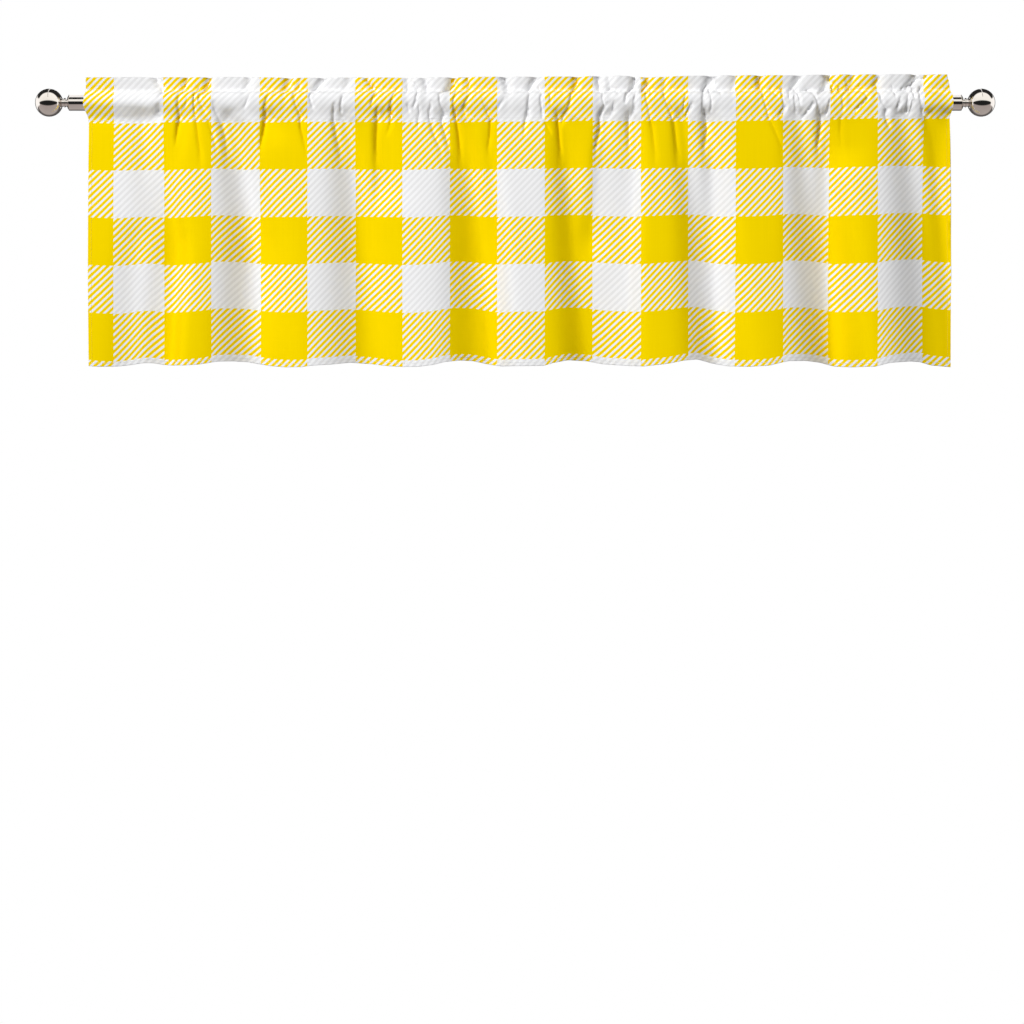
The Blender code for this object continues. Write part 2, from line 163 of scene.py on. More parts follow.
# The hem's line, which rises where the folds go back.
HEM_LINE = table(
    "x z",
    (-0.678, -0.4183),
    (-0.659, -0.4194),
    (-0.631, -0.4188),
    (-0.612, -0.4167),
    (-0.591, -0.4131),
    (-0.577, -0.4128),
    (-0.551, -0.4163),
    (-0.524, -0.4174),
    (-0.500, -0.4158),
    (-0.472, -0.4107),
    (-0.448, -0.4098),
    (-0.426, -0.4105),
    (-0.405, -0.4142),
    (-0.389, -0.4172),
    (-0.364, -0.4198),
    (-0.337, -0.4198),
    (-0.324, -0.4177),
    (-0.292, -0.4156),
    (-0.262, -0.4120),
    (-0.229, -0.4139),
    (-0.205, -0.4171),
    (-0.180, -0.4190),
    (-0.154, -0.4191),
    (-0.130, -0.4163),
    (-0.113, -0.4118),
    (-0.088, -0.4088),
    (-0.067, -0.4093),
    (-0.040, -0.4147),
    (-0.021, -0.4177),
    (0.011, -0.4183),
    (0.046, -0.4177),
    (0.060, -0.4134),
    (0.084, -0.4085),
    (0.114, -0.4091),
    (0.139, -0.4136),
    (0.170, -0.4161),
    (0.204, -0.4188),
    (0.243, -0.4145),
    (0.266, -0.4096),
    (0.289, -0.4069),
    (0.312, -0.4123),
    (0.339, -0.4172),
    (0.370, -0.4193),
    (0.401, -0.4178),
    (0.433, -0.4102),
    (0.462, -0.4094),
    (0.487, -0.4115),
    (0.509, -0.4167),
    (0.538, -0.4191),
    (0.570, -0.4191),
    (0.593, -0.4131),
    (0.627, -0.4101),
    (0.644, -0.4107),
    (0.662, -0.4156),
    (0.695, -0.4182),
)

# Folds of the panel that go back, away from the viewer: the line that each follows from
# the pocket's seam to the hem, its depth, its flanks' widths, and the shares of the drop
# where it begins and ends.
FOLDS = table(
    "x_top x_mid x_hem depth_top depth_hem width_top left_hem right_hem opens closes",
    (-0.642, -0.622, -0.638, 0.012, 0.007, 0.014, 0.031, 0.024, 0.4, 2.0),
    (-0.601, -0.569, -0.583, 0.007, 0.024, 0.030, 0.051, 0.012, -1.0, 2.0),
    (-0.532, -0.557, -0.541, 0.005, 0.000, 0.010, 0.010, 0.010, -1.0, 0.20),
    (-0.462, -0.442, -0.448, 0.009, 0.039, 0.012, 0.051, 0.048, -1.0, 2.0),
    (-0.396, -0.416, -0.384, 0.007, 0.005, 0.010, 0.010, 0.075, -1.0, 0.15),
    (-0.281, -0.271, -0.265, 0.008, 0.033, 0.012, 0.052, 0.059, -1.0, 2.0),
    (-0.220, -0.225, -0.231, 0.007, 0.012, 0.011, 0.010, 0.075, -1.0, 0.40),
    (-0.122, -0.105, -0.114, 0.004, 0.000, 0.012, 0.022, 0.010, -1.0, 0.55),
    (-0.096, -0.083, -0.081, 0.006, 0.034, 0.011, 0.048, 0.029, -1.0, 2.0),
    (-0.050, -0.042, -0.037, 0.000, 0.014, 0.010, 0.019, 0.019, -1.0, 2.0),
    (0.067, 0.076, 0.093, 0.007, 0.027, 0.011, 0.034, 0.064, -1.0, 2.0),
    (0.136, 0.111, 0.120, 0.010, 0.009, 0.011, 0.019, 0.045, -1.0, 0.60),
    (0.175, 0.142, 0.127, 0.008, 0.019, 0.010, 0.070, 0.017, -1.0, 2.0),
    (0.255, 0.271, 0.284, 0.007, 0.021, 0.011, 0.033, 0.033, -1.0, 2.0),
    (0.298, 0.303, 0.315, 0.012, 0.026, 0.012, 0.028, 0.033, -1.0, 2.0),
    (0.425, 0.405, 0.423, 0.002, 0.000, 0.011, 0.013, 0.010, -1.0, 0.30),
    (0.440, 0.451, 0.463, 0.010, 0.027, 0.012, 0.041, 0.040, -1.0, 2.0),
    (0.480, 0.487, 0.496, 0.012, 0.033, 0.011, 0.032, 0.033, -1.0, 2.0),
    (0.501, 0.505, 0.521, 0.002, 0.019, 0.011, 0.075, 0.046, -1.0, 0.25),
    (0.602, 0.622, 0.630, 0.012, 0.037, 0.018, 0.054, 0.043, -1.0, 2.0),
    (0.646, 0.675, 0.693, 0.012, 0.034, 0.012, 0.030, 0.049, -1.0, 2.0),
)
FOLD_LEAN = 0.7
FOLDS_OPEN = 3
TIGHT_CREST = 0.002
FIRST_GATHER = -0.5956
LAST_GATHER = 0.6903
GATHERS_FADE = 0.035
CREST_AT_HEM = 0.0175
FADE = 0.12

# Dents where the gathers pinch the header and the pocket: the place of each at the upper
# seam, and how far it leans to the right on its way up from there.
GATHERS = table(
    "x slant header_depth pocket_pinch width",
    (-0.558, -0.010, 0.008, 0.7, 0.008),
    (-0.527, 0.007, 0.007, 0.9, 0.008),
    (-0.493, 0.009, 0.009, 1.0, 0.008),
    (-0.428, 0.010, 0.006, 0.8, 0.008),
    (-0.365, 0.007, 0.008, 1.0, 0.008),
    (-0.319, 0.017, 0.009, 1.0, 0.008),
    (-0.271, 0.012, 0.005, 0.8, 0.008),
    (-0.223, -0.009, 0.008, 1.0, 0.008),
    (-0.171, 0.001, 0.006, 0.8, 0.008),
    (-0.141, -0.001, 0.008, 1.0, 0.008),
    (-0.106, 0.010, 0.011, 1.0, 0.009),
    (-0.076, 0.002, 0.006, 0.8, 0.008),
    (-0.012, -0.001, 0.011, 1.0, 0.008),
    (0.023, 0.012, 0.010, 0.9, 0.008),
    (0.093, 0.007, 0.010, 1.0, 0.008),
    (0.134, 0.001, 0.008, 1.0, 0.008),
    (0.151, -0.002, 0.008, 0.7, 0.008),
    (0.186, 0.006, 0.012, 1.0, 0.009),
    (0.204, 0.009, 0.011, 0.8, 0.009),
    (0.237, 0.001, 0.005, 0.8, 0.008),
    (0.301, 0.012, 0.013, 1.0, 0.009),
    (0.345, 0.007, 0.007, 0.6, 0.008),
    (0.389, 0.001, 0.013, 1.0, 0.009),
    (0.435, 0.017, 0.009, 1.0, 0.008),
    (0.488, 0.013, 0.013, 1.0, 0.009),
    (0.531, 0.007, 0.008, 0.9, 0.008),
    (0.572, 0.006, 0.009, 1.0, 0.008),
    (0.621, 0.017, 0.013, 1.0, 0.009),
    (0.643, 0.012, 0.009, 0.8, 0.008),
)
WIDTH_AT_SEAM = 0.6
GATHER_DEPTH = 1.05
GATHER_PINCH = 0.35
SEAM_SHARE = 0.2
POCKET_SLACK = 0.005
SQUARE_ABOVE = 3.3
SQUARE_BELOW = 2.4

# How far forward the header's top leans and the panel starts, along the rod.
HEADING = table(
    "x lean crest",
    (-0.10, 0.0055, 0.0130),
    (0.08, 0.0075, 0.0155),
    (0.30, 0.0085, 0.0165),
)

# Fine creases round the heading: where each starts, bends and ends in the photograph's
# pixels (x across, y down), how deep it is there in millimetres, and how wide its left and
# right flanks are in millimetres.
CREASES = table(
    "y_high x_high d_high y_mid x_mid d_mid y_low x_low d_low left right",
    (80, 184, 4, 86, 183, 2.5, 93, 181, 1.2, 2.5, 2.5),
    (95, 177, 1.5, 105, 176, 2.5, 117, 178, 4, 3, 3),
    (117, 178, 4, 126, 176, 4.5, 146, 173, 0.5, 3, 4),
    (79, 207, 5, 87, 205, 4.5, 94, 201, 4, 3.5, 2.5),
    (96, 198, 4, 102, 198, 5.5, 111, 203, 2, 2.2, 2.5),
    (88, 197, 1.5, 94, 193.5, 3.5, 97, 192.5, 3, 2, 2),
    (97, 192.5, 3, 108, 193, 3.5, 118, 193.5, 2, 2, 2.5),
    (118, 194, 2, 130, 195, 2.5, 165, 199.5, 1.5, 4, 3),
    (100, 186, 1.5, 106, 185, 2, 111, 181, 1.5, 2, 2),
    (89, 159, 1, 93, 161, 3.5, 97, 157, 1.5, 2.5, 1.8),
    (106, 155, 2, 114, 155.5, 6, 121, 155, 3, 7, 4),
    (78, 152, 3, 83, 154, 2.5, 89, 159, 1, 8, 4),
    (103, 211, 1, 112, 213, 3, 122, 218, 3.5, 3, 5),
    (122, 218, 3.5, 135, 221, 3, 160, 225, 2, 5, 6),
    (122, 205, 1, 134, 210, 2, 150, 214, 0.6, 3.5, 3),
    (95, 248.5, 1, 102, 245.5, 2.2, 109, 242.5, 1, 2, 2),
    (97, 266, 1.5, 106, 263.5, 5.5, 117, 263, 6.5, 2.5, 2.5),
    (117, 263, 6.5, 126, 262.5, 4.5, 155, 257, 1, 3, 3.5),
    (79, 287, 5, 87, 286.5, 5.5, 93, 282, 4.5, 8, 2),
    (92, 278, 2, 94, 274, 2.5, 97, 271, 1, 2, 2),
    (80, 297, 1.5, 88, 296, 2, 94, 292, 3, 5, 2.5),
    (94, 291.5, 3, 104, 293.5, 3, 114, 297.5, 4, 3, 2.5),
    (114, 298, 4, 127, 298.5, 3.5, 152, 304, 0.7, 3, 4),
    (93, 309.5, 4, 98, 308, 4, 108, 311, 2, 2, 2),
    (79, 321, 3.5, 88, 316, 4, 94, 310, 4, 5, 3),
    (105, 332, 1.5, 113, 331, 3.5, 121, 331, 3, 2.5, 4),
    (121, 331, 3, 135, 333, 3, 160, 338, 1.5, 4, 6),
    (99, 340.5, 3, 106, 338.8, 4.5, 111, 339, 3, 2, 2),
    (79, 363, 3, 84, 367.5, 4.5, 89, 371.5, 5, 2.5, 2.5),
    (93, 374.5, 3, 98, 372, 4, 106, 369, 1.5, 2.2, 2),
    (109, 375, 2, 114, 374.5, 4, 120, 374.5, 3, 3, 2.5),
    (120, 374.5, 3, 135, 373, 3, 165, 372.5, 2.5, 5, 4),
    (90, 394, 1.5, 97, 391.5, 2.5, 104, 389, 3, 2.5, 2),
    (104, 389, 3, 112, 388, 7, 117, 388.5, 5, 3, 3),
    (117, 389, 5, 124, 388.5, 3, 135, 384.5, 0.5, 2.5, 3),
    (87, 405, 1, 91, 405, 3, 95, 403, 1, 2, 2),
    (105, 405, 1, 109, 406, 3, 113, 407, 1, 2.5, 2.5),
    (83, 411, 1, 89, 415, 2, 97, 415, 3, 2, 2),
    (97, 415, 3, 103, 413.5, 3.5, 109, 411, 2, 2, 2),
    (103, 416, 0.5, 109, 417, 2, 117, 417.5, 1.5, 2, 2),
    (117, 417.5, 1.5, 121, 415.5, 2.5, 130, 416, 0.3, 2, 2),
    (79, 422, 2.5, 86, 424.5, 3, 93, 424, 3.5, 4, 2.5),
    (104, 429, 2, 112, 427, 3, 121, 427, 3, 2.5, 3),
    (121, 427.5, 3, 134, 431, 3.5, 155, 440, 1, 3.5, 4),
    (79, 451, 6, 86, 452, 6.5, 91, 446, 6, 5, 4),
    (89, 447, 5, 92, 442, 5, 95.5, 437.5, 4.5, 2, 2),
    (96, 437, 3, 104, 438, 3, 114, 442, 4, 2.5, 2.5),
    (114, 442, 4, 122, 439, 3, 148, 446, 1.5, 3, 3.5),
    (94, 453.5, 2, 102, 451.5, 5, 110, 452, 6.5, 2.2, 2.5),
    (110, 452, 6.5, 118, 453, 5, 122, 454, 4, 2.5, 3),
    (122, 454, 4, 135, 456, 3.5, 165, 458, 1.5, 3, 5),
    (79, 465, 2, 86, 467, 3, 94, 464.5, 1.5, 3, 2),
    (93, 469, 2, 101, 465, 3, 109, 461, 5, 2, 2.2),
    (109, 461, 5, 113, 463, 3.5, 118, 466, 1.5, 2.5, 4),
    (99, 479, 0.5, 106, 482, 1.5, 112, 485, 4, 2, 2.5),
    (112, 485, 4, 117, 487, 2, 122, 488.5, 4, 2.5, 3),
    (122, 488.5, 4, 136, 487.5, 2.5, 155, 484.5, 0.5, 3, 3),
    (79, 500, 4, 86, 505, 5, 94, 505.5, 4, 6, 3),
    (99, 502, 1, 105, 498, 2, 111, 494.5, 1, 3, 2),
    (79, 533, 3, 85, 528, 2.5, 92, 525.5, 4, 5, 3),
    (95, 527, 1, 104, 526, 4, 113, 525.5, 5, 2.5, 3),
    (113, 525.5, 5, 121, 523, 4, 135, 521, 1, 3, 3),
    (86, 536, 1, 92, 538, 1.5, 97, 540, 2.5, 2, 2),
    (98, 538.5, 3, 104, 538.5, 4, 112, 540, 3, 2.2, 2.5),
    (112, 540, 3, 117, 539, 2.5, 121, 541, 1, 3, 3),
    (121, 541.5, 1, 127, 544.5, 3, 133, 548, 1, 2.2, 2.2),
    (94, 547.5, 1, 99, 548, 2.5, 105, 548, 1, 2, 2),
    (112, 553, 1.5, 121, 555, 4, 160, 558, 2, 4, 3),
    (79, 572, 4, 84, 575, 4.5, 88, 572, 3, 5, 2.5),
    (88, 572, 2.5, 93, 569.5, 6, 97, 568.5, 3, 2.2, 2.2),
    (97, 568.5, 3, 106, 567, 3, 114, 563, 3.5, 2.5, 2.5),
    (114, 563, 3.5, 121, 559.5, 3, 126, 558, 1, 3, 2.5),
    (79, 594, 3, 86, 596, 3, 92, 597, 3, 4, 2.5),
    (88, 612, 2, 90, 607, 3, 94, 603, 2, 2.5, 2),
    (88, 612, 2, 91, 614, 2.5, 95, 615, 1, 2.5, 2),
    (94, 600, 2, 101, 600.5, 4.5, 106, 602, 3, 2.2, 2),
    (105, 603, 3, 111, 599.5, 5, 118, 596, 4, 3, 2.5),
    (118, 596, 4, 130, 597, 3.5, 158, 590, 1.5, 4, 3),
    (103, 611.5, 1.5, 109, 611, 4, 115, 608.5, 4, 2.5, 2.2),
    (78, 632, 5.5, 84, 632, 5, 89, 630.5, 3.5, 3, 2.5),
    (88, 630, 3, 91, 627, 5, 95, 624.5, 6, 2, 2),
    (95, 624, 6, 98, 623.5, 5.5, 103, 622.5, 2, 2.2, 2.2),
    (94, 633, 2, 102, 632, 5, 109, 632, 4.5, 2.2, 2.5),
    (109, 632, 4.5, 113, 630.5, 3, 118, 628, 2, 2.2, 2),
    (115, 625.5, 2, 125, 625.5, 4, 150, 625.5, 1.5, 4, 3.5),
    (78, 641, 4, 82, 645, 6, 86, 643.5, 5.5, 4, 2.5),
    (86, 643.5, 5.5, 89, 641, 4, 93, 638.5, 4.5, 2, 2),
    (91, 644, 4, 97, 643.5, 6, 104, 645, 3.5, 2.2, 2.2),
    (104, 645, 3.5, 113, 646.5, 2, 125, 648.5, 2.5, 2.5, 2.5),
    (125, 648.5, 2.5, 140, 650, 2, 165, 653, 1, 5, 3),
    (91, 648, 2, 93.5, 648, 3.5, 97, 648, 1.5, 2, 2),
    (92, 661, 2.5, 98, 662, 2.5, 106, 665, 3, 2.5, 2),
    (106, 665, 3, 113, 668, 5, 119, 669, 3, 3, 2.5),
    (119, 669.5, 3, 130, 671, 3, 160, 674, 2.5, 5, 5),
    (94, 683.5, 1, 102, 681.5, 2.5, 111, 681, 1.5, 2.2, 2),
    (105, 689.5, 2, 111, 685.5, 3.5, 119, 683, 3, 2.2, 2.2),
    (78, 709, 6.5, 84, 710, 6.5, 89, 708.5, 4, 9, 2.5),
    (85, 704, 2, 88, 701, 4, 91, 700.5, 6, 2.2, 2.2),
    (90, 700, 6.5, 98, 701, 5.5, 106, 700.5, 5, 2.5, 2.5),
    (106, 700.5, 5, 112, 701, 7, 121, 703, 5, 3, 3),
    (121, 703, 5, 132, 703.5, 3.5, 155, 699, 2, 5, 4.5),
    (90, 706.5, 4, 92.5, 706.5, 6, 95, 706.5, 3, 2, 2),
    (96, 708, 2.5, 103, 709, 3.5, 111, 708, 2, 2.2, 2),
    (90, 714, 2.5, 92, 717, 3, 96, 718, 1, 2, 2),
    (78, 756, 5, 83, 756, 5.5, 88, 757, 5.5, 4.5, 3),
    (89, 758.5, 4, 98, 761, 4.5, 107, 763, 4, 2.5, 2.2),
    (107, 763, 4, 113, 765, 4, 119, 766, 2, 2.5, 3),
    (119, 766, 2, 130, 771, 2, 150, 779, 0.8, 3.5, 3),
    (88, 767, 1, 93, 770, 2.5, 99, 777, 2, 2.2, 2),
    (89, 778, 4, 94, 779.5, 5, 98, 779, 3, 2, 2),
    (98, 779, 3, 105, 782, 6, 110, 781.5, 6.5, 3, 2.2),
    (110, 781.5, 6.5, 112, 780, 6, 116, 776.5, 3.5, 2.2, 2),
    (78, 798, 3, 84, 794.5, 3.5, 89, 789, 3.5, 2.5, 2.5),
    (89, 788.5, 4, 93, 786, 5, 98, 786.5, 2.5, 2, 2),
    (91, 792.5, 3.5, 96, 795.5, 5, 104, 797, 3, 2, 2),
    (96, 791.5, 3, 103, 792, 4.5, 112, 793, 2.5, 2.2, 2.2),
    (90, 802, 1, 92, 808, 2.5, 97, 812, 3.5, 2, 2),
    (97, 812, 3.5, 100, 813.5, 3.5, 104, 814.5, 3, 2, 2),
    (89, 807, 2.5, 91, 802, 3.5, 94, 799, 1.5, 2, 2),
    (104, 810, 3, 109, 807, 4.5, 118, 800, 4, 2.2, 2.2),
    (78, 824, 6, 83, 829, 5.5, 88, 831, 4, 5, 3),
    (89, 823, 5, 91, 819.5, 5.5, 96, 815.5, 5, 2.2, 2.2),
    (88, 829, 4, 90.5, 829.5, 6, 94, 830, 2, 2, 2),
    (88, 836, 3, 90.5, 836, 6, 93.5, 836, 2, 2, 2),
    (101, 814.5, 2.5, 108, 815.5, 4, 115, 816, 4, 3, 2.5),
    (115, 817, 5, 125, 817.5, 5, 150, 814, 2.5, 3.5, 5),
    (100, 827, 1, 108, 825.5, 6, 115, 823.5, 3, 2, 2),
    (79, 843, 1, 84, 843, 1.5, 89, 846, 3.5, 3, 3),
    (87, 857, 2, 89, 853, 3.5, 91, 847, 4, 2, 2),
    (91, 844, 2, 99, 839, 2.5, 110, 840, 1.5, 2, 2.5),
    (91, 858, 2.5, 95, 862, 2, 99, 865, 3, 2, 2),
    (99, 865, 3, 104, 861, 4.5, 112, 851.5, 2.5, 2, 2),
    (116, 837, 1, 128, 837, 2, 150, 838, 0.5, 4, 3),
    (79, 877, 3.5, 83, 873, 3.5, 87, 869, 3, 3, 2.5),
    (89, 874.5, 4, 95, 877, 5, 103, 878.5, 4, 2.5, 4),
    (103, 879, 4, 110, 883.5, 6, 114, 882, 3, 2.5, 5),
    (88, 889, 2, 92, 891, 2.5, 98, 892, 1, 2, 2),
    (100, 897, 2, 105.5, 895.5, 5, 110, 894, 2, 2.5, 2.2),
    (78, 918, 6, 82, 911, 7, 85, 907, 6, 4, 4),
    (86, 904, 5, 88, 901.5, 5.5, 91, 898, 2, 2, 2),
    (84, 908.5, 5, 91, 910, 6.5, 98, 911.5, 4.5, 2.2, 2.2),
    (88, 917, 5, 93, 916.5, 6, 100, 917, 4, 2.2, 2.2),
    (100, 917.5, 4, 107, 919, 5, 113, 919.5, 4, 2.5, 2.5),
    (96, 905.5, 2.5, 104, 904.5, 4, 112, 903.5, 3, 2.5, 2.5),
    (102, 909, 2.5, 108, 908, 4.5, 113, 906.5, 3, 2.2, 2.2),
    (113, 880, 3, 118, 882, 4, 128, 885.5, 1.5, 2.5, 4),
)
MILLIMETRE = 0.001
CREASE_POWER = 1.6
CREASE_MERGE = 4
CREASE_END = 0.003
CREASE_BOTTOM = 0.003
CREASE_LEAN = 0.6
CREASE_DEPTH = 1.7
BACK_CREASE = 0.6
BACK_STARTS = 0.001
BACK_FULL = 0.007

# The check: where its columns change in the photograph, and how it is woven.
CHECK_LINES = table(
    "pixel count",
    (66.7, -1),
    (114.3, 0),
    (164.0, 1),
    (308.0, 4),
    (544.6, 9),
    (640.7, 11),
    (876.8, 16),
    (923.3, 17),
    (970.8, 18),
)

# How much lower the check's rows lie than evenly drawn ones, in the photograph's pixels,
# at the pocket and at the hem.
ROW_SHIFTS = table(
    "pixel top low",
    (66.7, -1.0, -0.5),
    (118.0, 0.2, 2.0),
    (190.0, -0.2, 0.8),
    (264.0, 0.4, -0.6),
    (340.0, 0.3, -0.5),
    (406.0, 1.2, 0.5),
    (500.0, 1.4, 0.1),
    (600.0, 0.8, 0.0),
    (740.0, 2.0, 0.2),
    (832.0, 0.6, -0.2),
    (880.0, 0.0, -0.3),
    (927.0, -0.2, -3.2),
)
FIRST_CHECK_DROP = 0.0162
CHECK_DROP = 0.1915
CHECK = 0.0755
TWILL_LINES = 7.092
TWILL_START = 0.47
TWILL_EDGE = 0.05
HALF_STRIPE = 0.25
GOLD_SPREAD = 0.04
THREAD = 0.0008

GOLD = (0.930, 0.675, 0.000, 1.0)
GOLD_STRIPE = (0.935, 0.662, 0.000, 1.0)
CREAM_STRIPE = (0.845, 0.885, 0.985, 1.0)
WHITE = (0.925, 0.926, 0.935, 1.0)
GREY_STRIPE = (0.800, 0.800, 0.805, 1.0)
THREAD_WHITE = (0.900, 0.900, 0.880, 1.0)
THREAD_GOLD = (0.900, 0.680, 0.100, 1.0)
NICKEL = (0.780, 0.745, 0.715, 1.0)
NICKEL_SHADE = (0.640, 0.600, 0.570, 1.0)
FLOOR_WHITE = (0.900, 0.900, 0.900, 1.0)

# How much the yarn, its thick places and patches lighten the cloth, and their relief.
CLOTH_DARKEST = 0.955
YARN_SHADE = 0.06
SLUB_SHADE = 0.03
PATCH_SHADE = 0.03
YARN_RELIEF = 0.5
SLUB_RELIEF = 0.3

# How matt each finish is, how much it shines, the share of its colour left where it is
# darkest, and the strength and depth of its relief.
CLOTH_ROUGHNESS = 0.9
PATCH_ROUGHNESS = 0.1
CLOTH_SHINE = 0.02
WEAVE_BUMP = (0.25, 0.0002)
THREAD_ROUGHNESS = 0.8
THREAD_SHINE = 0.1
THREAD_DARKEST = 0.82
ROD_ROUGHNESS = 0.02
FINIAL_ROUGHNESS = 0.05
CLOUD_DULLING = 0.03
LINE_DULLING = 0.02
POLISH_BUMP = (0.012, 0.0001)
FLOOR_ROUGHNESS = 0.9
FLOOR_DARKEST = 0.97

# Scales of the streaks and clouds in the finishes; a streak has one for each direction.
WARP_STREAKS = (700.0, 9.0, 1.0)
WEFT_STREAKS = (5.0, 500.0, 1.0)
CLOTH_PATCHES = 9.0
THREAD_TWIST = (900.0, 900.0, 900.0)
POLISH_LINES = (9.0, 900.0, 900.0)
METAL_CLOUDS = 60.0
FLOOR_SPECKLE = 40.0
FINE_DETAIL = 2.0
CLOUD_DETAIL = 3.0

# Stitches, and how far their lines lie from the hems' inner folds and the lower seam.
STITCH_PITCH = 0.0032
STITCH_LENGTH = 0.0023
STITCH_RADIUS = 0.00022
STITCH_LIFT = 0.0001
STITCH_PROUD = 0.4
THREAD_SIDES = 6
STITCH_FROM_FOLD = 0.0007
STITCH_UNDER_SEAM = 0.0022

# Where the other lines lie, as shares of the header's height, the width and the drop.
STITCH_OVER_SEAM = 0.01
STITCH_ENDS = (0.004, 0.996)
SIDE_STITCH_ENDS = (0.012, 0.985)
PATH_POINTS = 700
SIDE_PATH_POINTS = 160


# ------------------------------------------------------------------ small helpers


def photo_x(pixel):
    """The place along the rod of a column of the photograph."""
    return (pixel - ROD_COLUMN) * PIXEL


def photo_z(pixel):
    """The height of a row of the photograph."""
    return (ROD_ROW - pixel) * PIXEL


def blend(a, b, share):
    """The value a share of the way from a to b."""
    return a + (b - a) * share


def ease(share):
    """A share from 0 to 1 with a soft start and end, held at both."""
    held = np.clip(share, 0.0, 1.0)
    return held * held * (3.0 - 2.0 * held)


def read_table(rows, key, column, at):
    """Read a column of a table at one or many places, held at both ends."""
    keys = [getattr(row, key) for row in rows]
    values = [getattr(row, column) for row in rows]
    return np.interp(at, keys, values)


# ------------------------------------------------------------------ shader maths


class Shade:
    """A socket of a node tree, so that shader maths reads as plain expressions."""

    def __init__(self, finish, socket):
        self.finish = finish
        self.socket = socket

    def maths(self, operation, *values):
        inputs = dict(enumerate(values))
        return self.finish.node("ShaderNodeMath", {"operation": operation}, inputs)

    def __add__(self, other):
        return self.maths("ADD", self, other)

    def __radd__(self, other):
        return self.maths("ADD", other, self)

    def __sub__(self, other):
        return self.maths("SUBTRACT", self, other)

    def __rsub__(self, other):
        return self.maths("SUBTRACT", other, self)

    def __mul__(self, other):
        return self.maths("MULTIPLY", self, other)

    def __rmul__(self, other):
        return self.maths("MULTIPLY", other, self)

    def __truediv__(self, other):
        return self.maths("DIVIDE", self, other)

    def __rtruediv__(self, other):
        return self.maths("DIVIDE", other, self)

    def __mod__(self, other):
        return self.maths("FLOORED_MODULO", self, other)

    def floor(self):
        return self.maths("FLOOR", self)

    def fraction(self):
        return self.maths("FRACT", self)

    def size(self):
        return self.maths("ABSOLUTE", self)

    def above(self, level):
        return self.maths("GREATER_THAN", self, level)

    def soft_step(self, low, high):
        """0 below low, 1 above high, and a soft rise between them."""
        settings = {"interpolation_type": "SMOOTHSTEP"}
        inputs = {"Value": self, "From Min": low, "From Max": high}
        return self.finish.node("ShaderNodeMapRange", settings, inputs)


class Finish:
    """A node tree of a material or the world, and the one method that adds its nodes."""

    def __init__(self, owner):
        owner.use_nodes = True
        self.owner = owner
        self.tree = owner.node_tree
        self.tree.nodes.clear()

    def node(self, kind, settings=None, inputs=None, output=0):
        """Add a node: its settings first, then the values or links of its inputs."""
        made = self.tree.nodes.new(kind)
        for name, value in (settings or {}).items():
            if name == "stops":
                self.set_stops(made.color_ramp, value)
            else:
                setattr(made, name, value)
        for key, value in (inputs or {}).items():
            if isinstance(value, Shade):
                self.tree.links.new(value.socket, made.inputs[key])
            else:
                made.inputs[key].default_value = value
        return Shade(self, made.outputs[output]) if made.outputs else None

    def set_stops(self, ramp, stops):
        while len(ramp.elements) < len(stops):
            ramp.elements.new(1.0)
        for element, (place, colour) in zip(ramp.elements, stops):
            element.position = place
            element.color = colour

    def mix(self, share, a, b):
        return self.node("ShaderNodeMix", {"data_type": "RGBA"}, {0: share, 6: a, 7: b}, 2)

    def parts(self, vector):
        """The X, Y and Z of a vector."""
        split = self.node("ShaderNodeSeparateXYZ", {}, {0: vector}).socket.node
        return [Shade(self, output) for output in split.outputs]

    def position(self):
        return self.node("ShaderNodeTexCoord", {}, {}, 3)

    def stretched(self, place, scale):
        return self.node("ShaderNodeMapping", {}, {"Vector": place, "Scale": scale})

    def noise(self, place, scale, detail):
        inputs = {"Vector": place, "Scale": scale, "Detail": detail}
        return self.node("ShaderNodeTexNoise", {}, inputs)

    def bump(self, height, strength, distance):
        inputs = {"Strength": strength, "Distance": distance, "Height": height}
        return self.node("ShaderNodeBump", {}, inputs)

    def surface(self, sockets):
        """End the tree in one shader with these sockets set or linked."""
        shader = self.node("ShaderNodeBsdfPrincipled", {}, sockets)
        self.node("ShaderNodeOutputMaterial", {}, {"Surface": shader})
        return self.owner


def new_finish(name):
    return Finish(bpy.data.materials.new(name))


def darker(colour, share):
    return tuple(share * value for value in colour[:3]) + (1.0,)


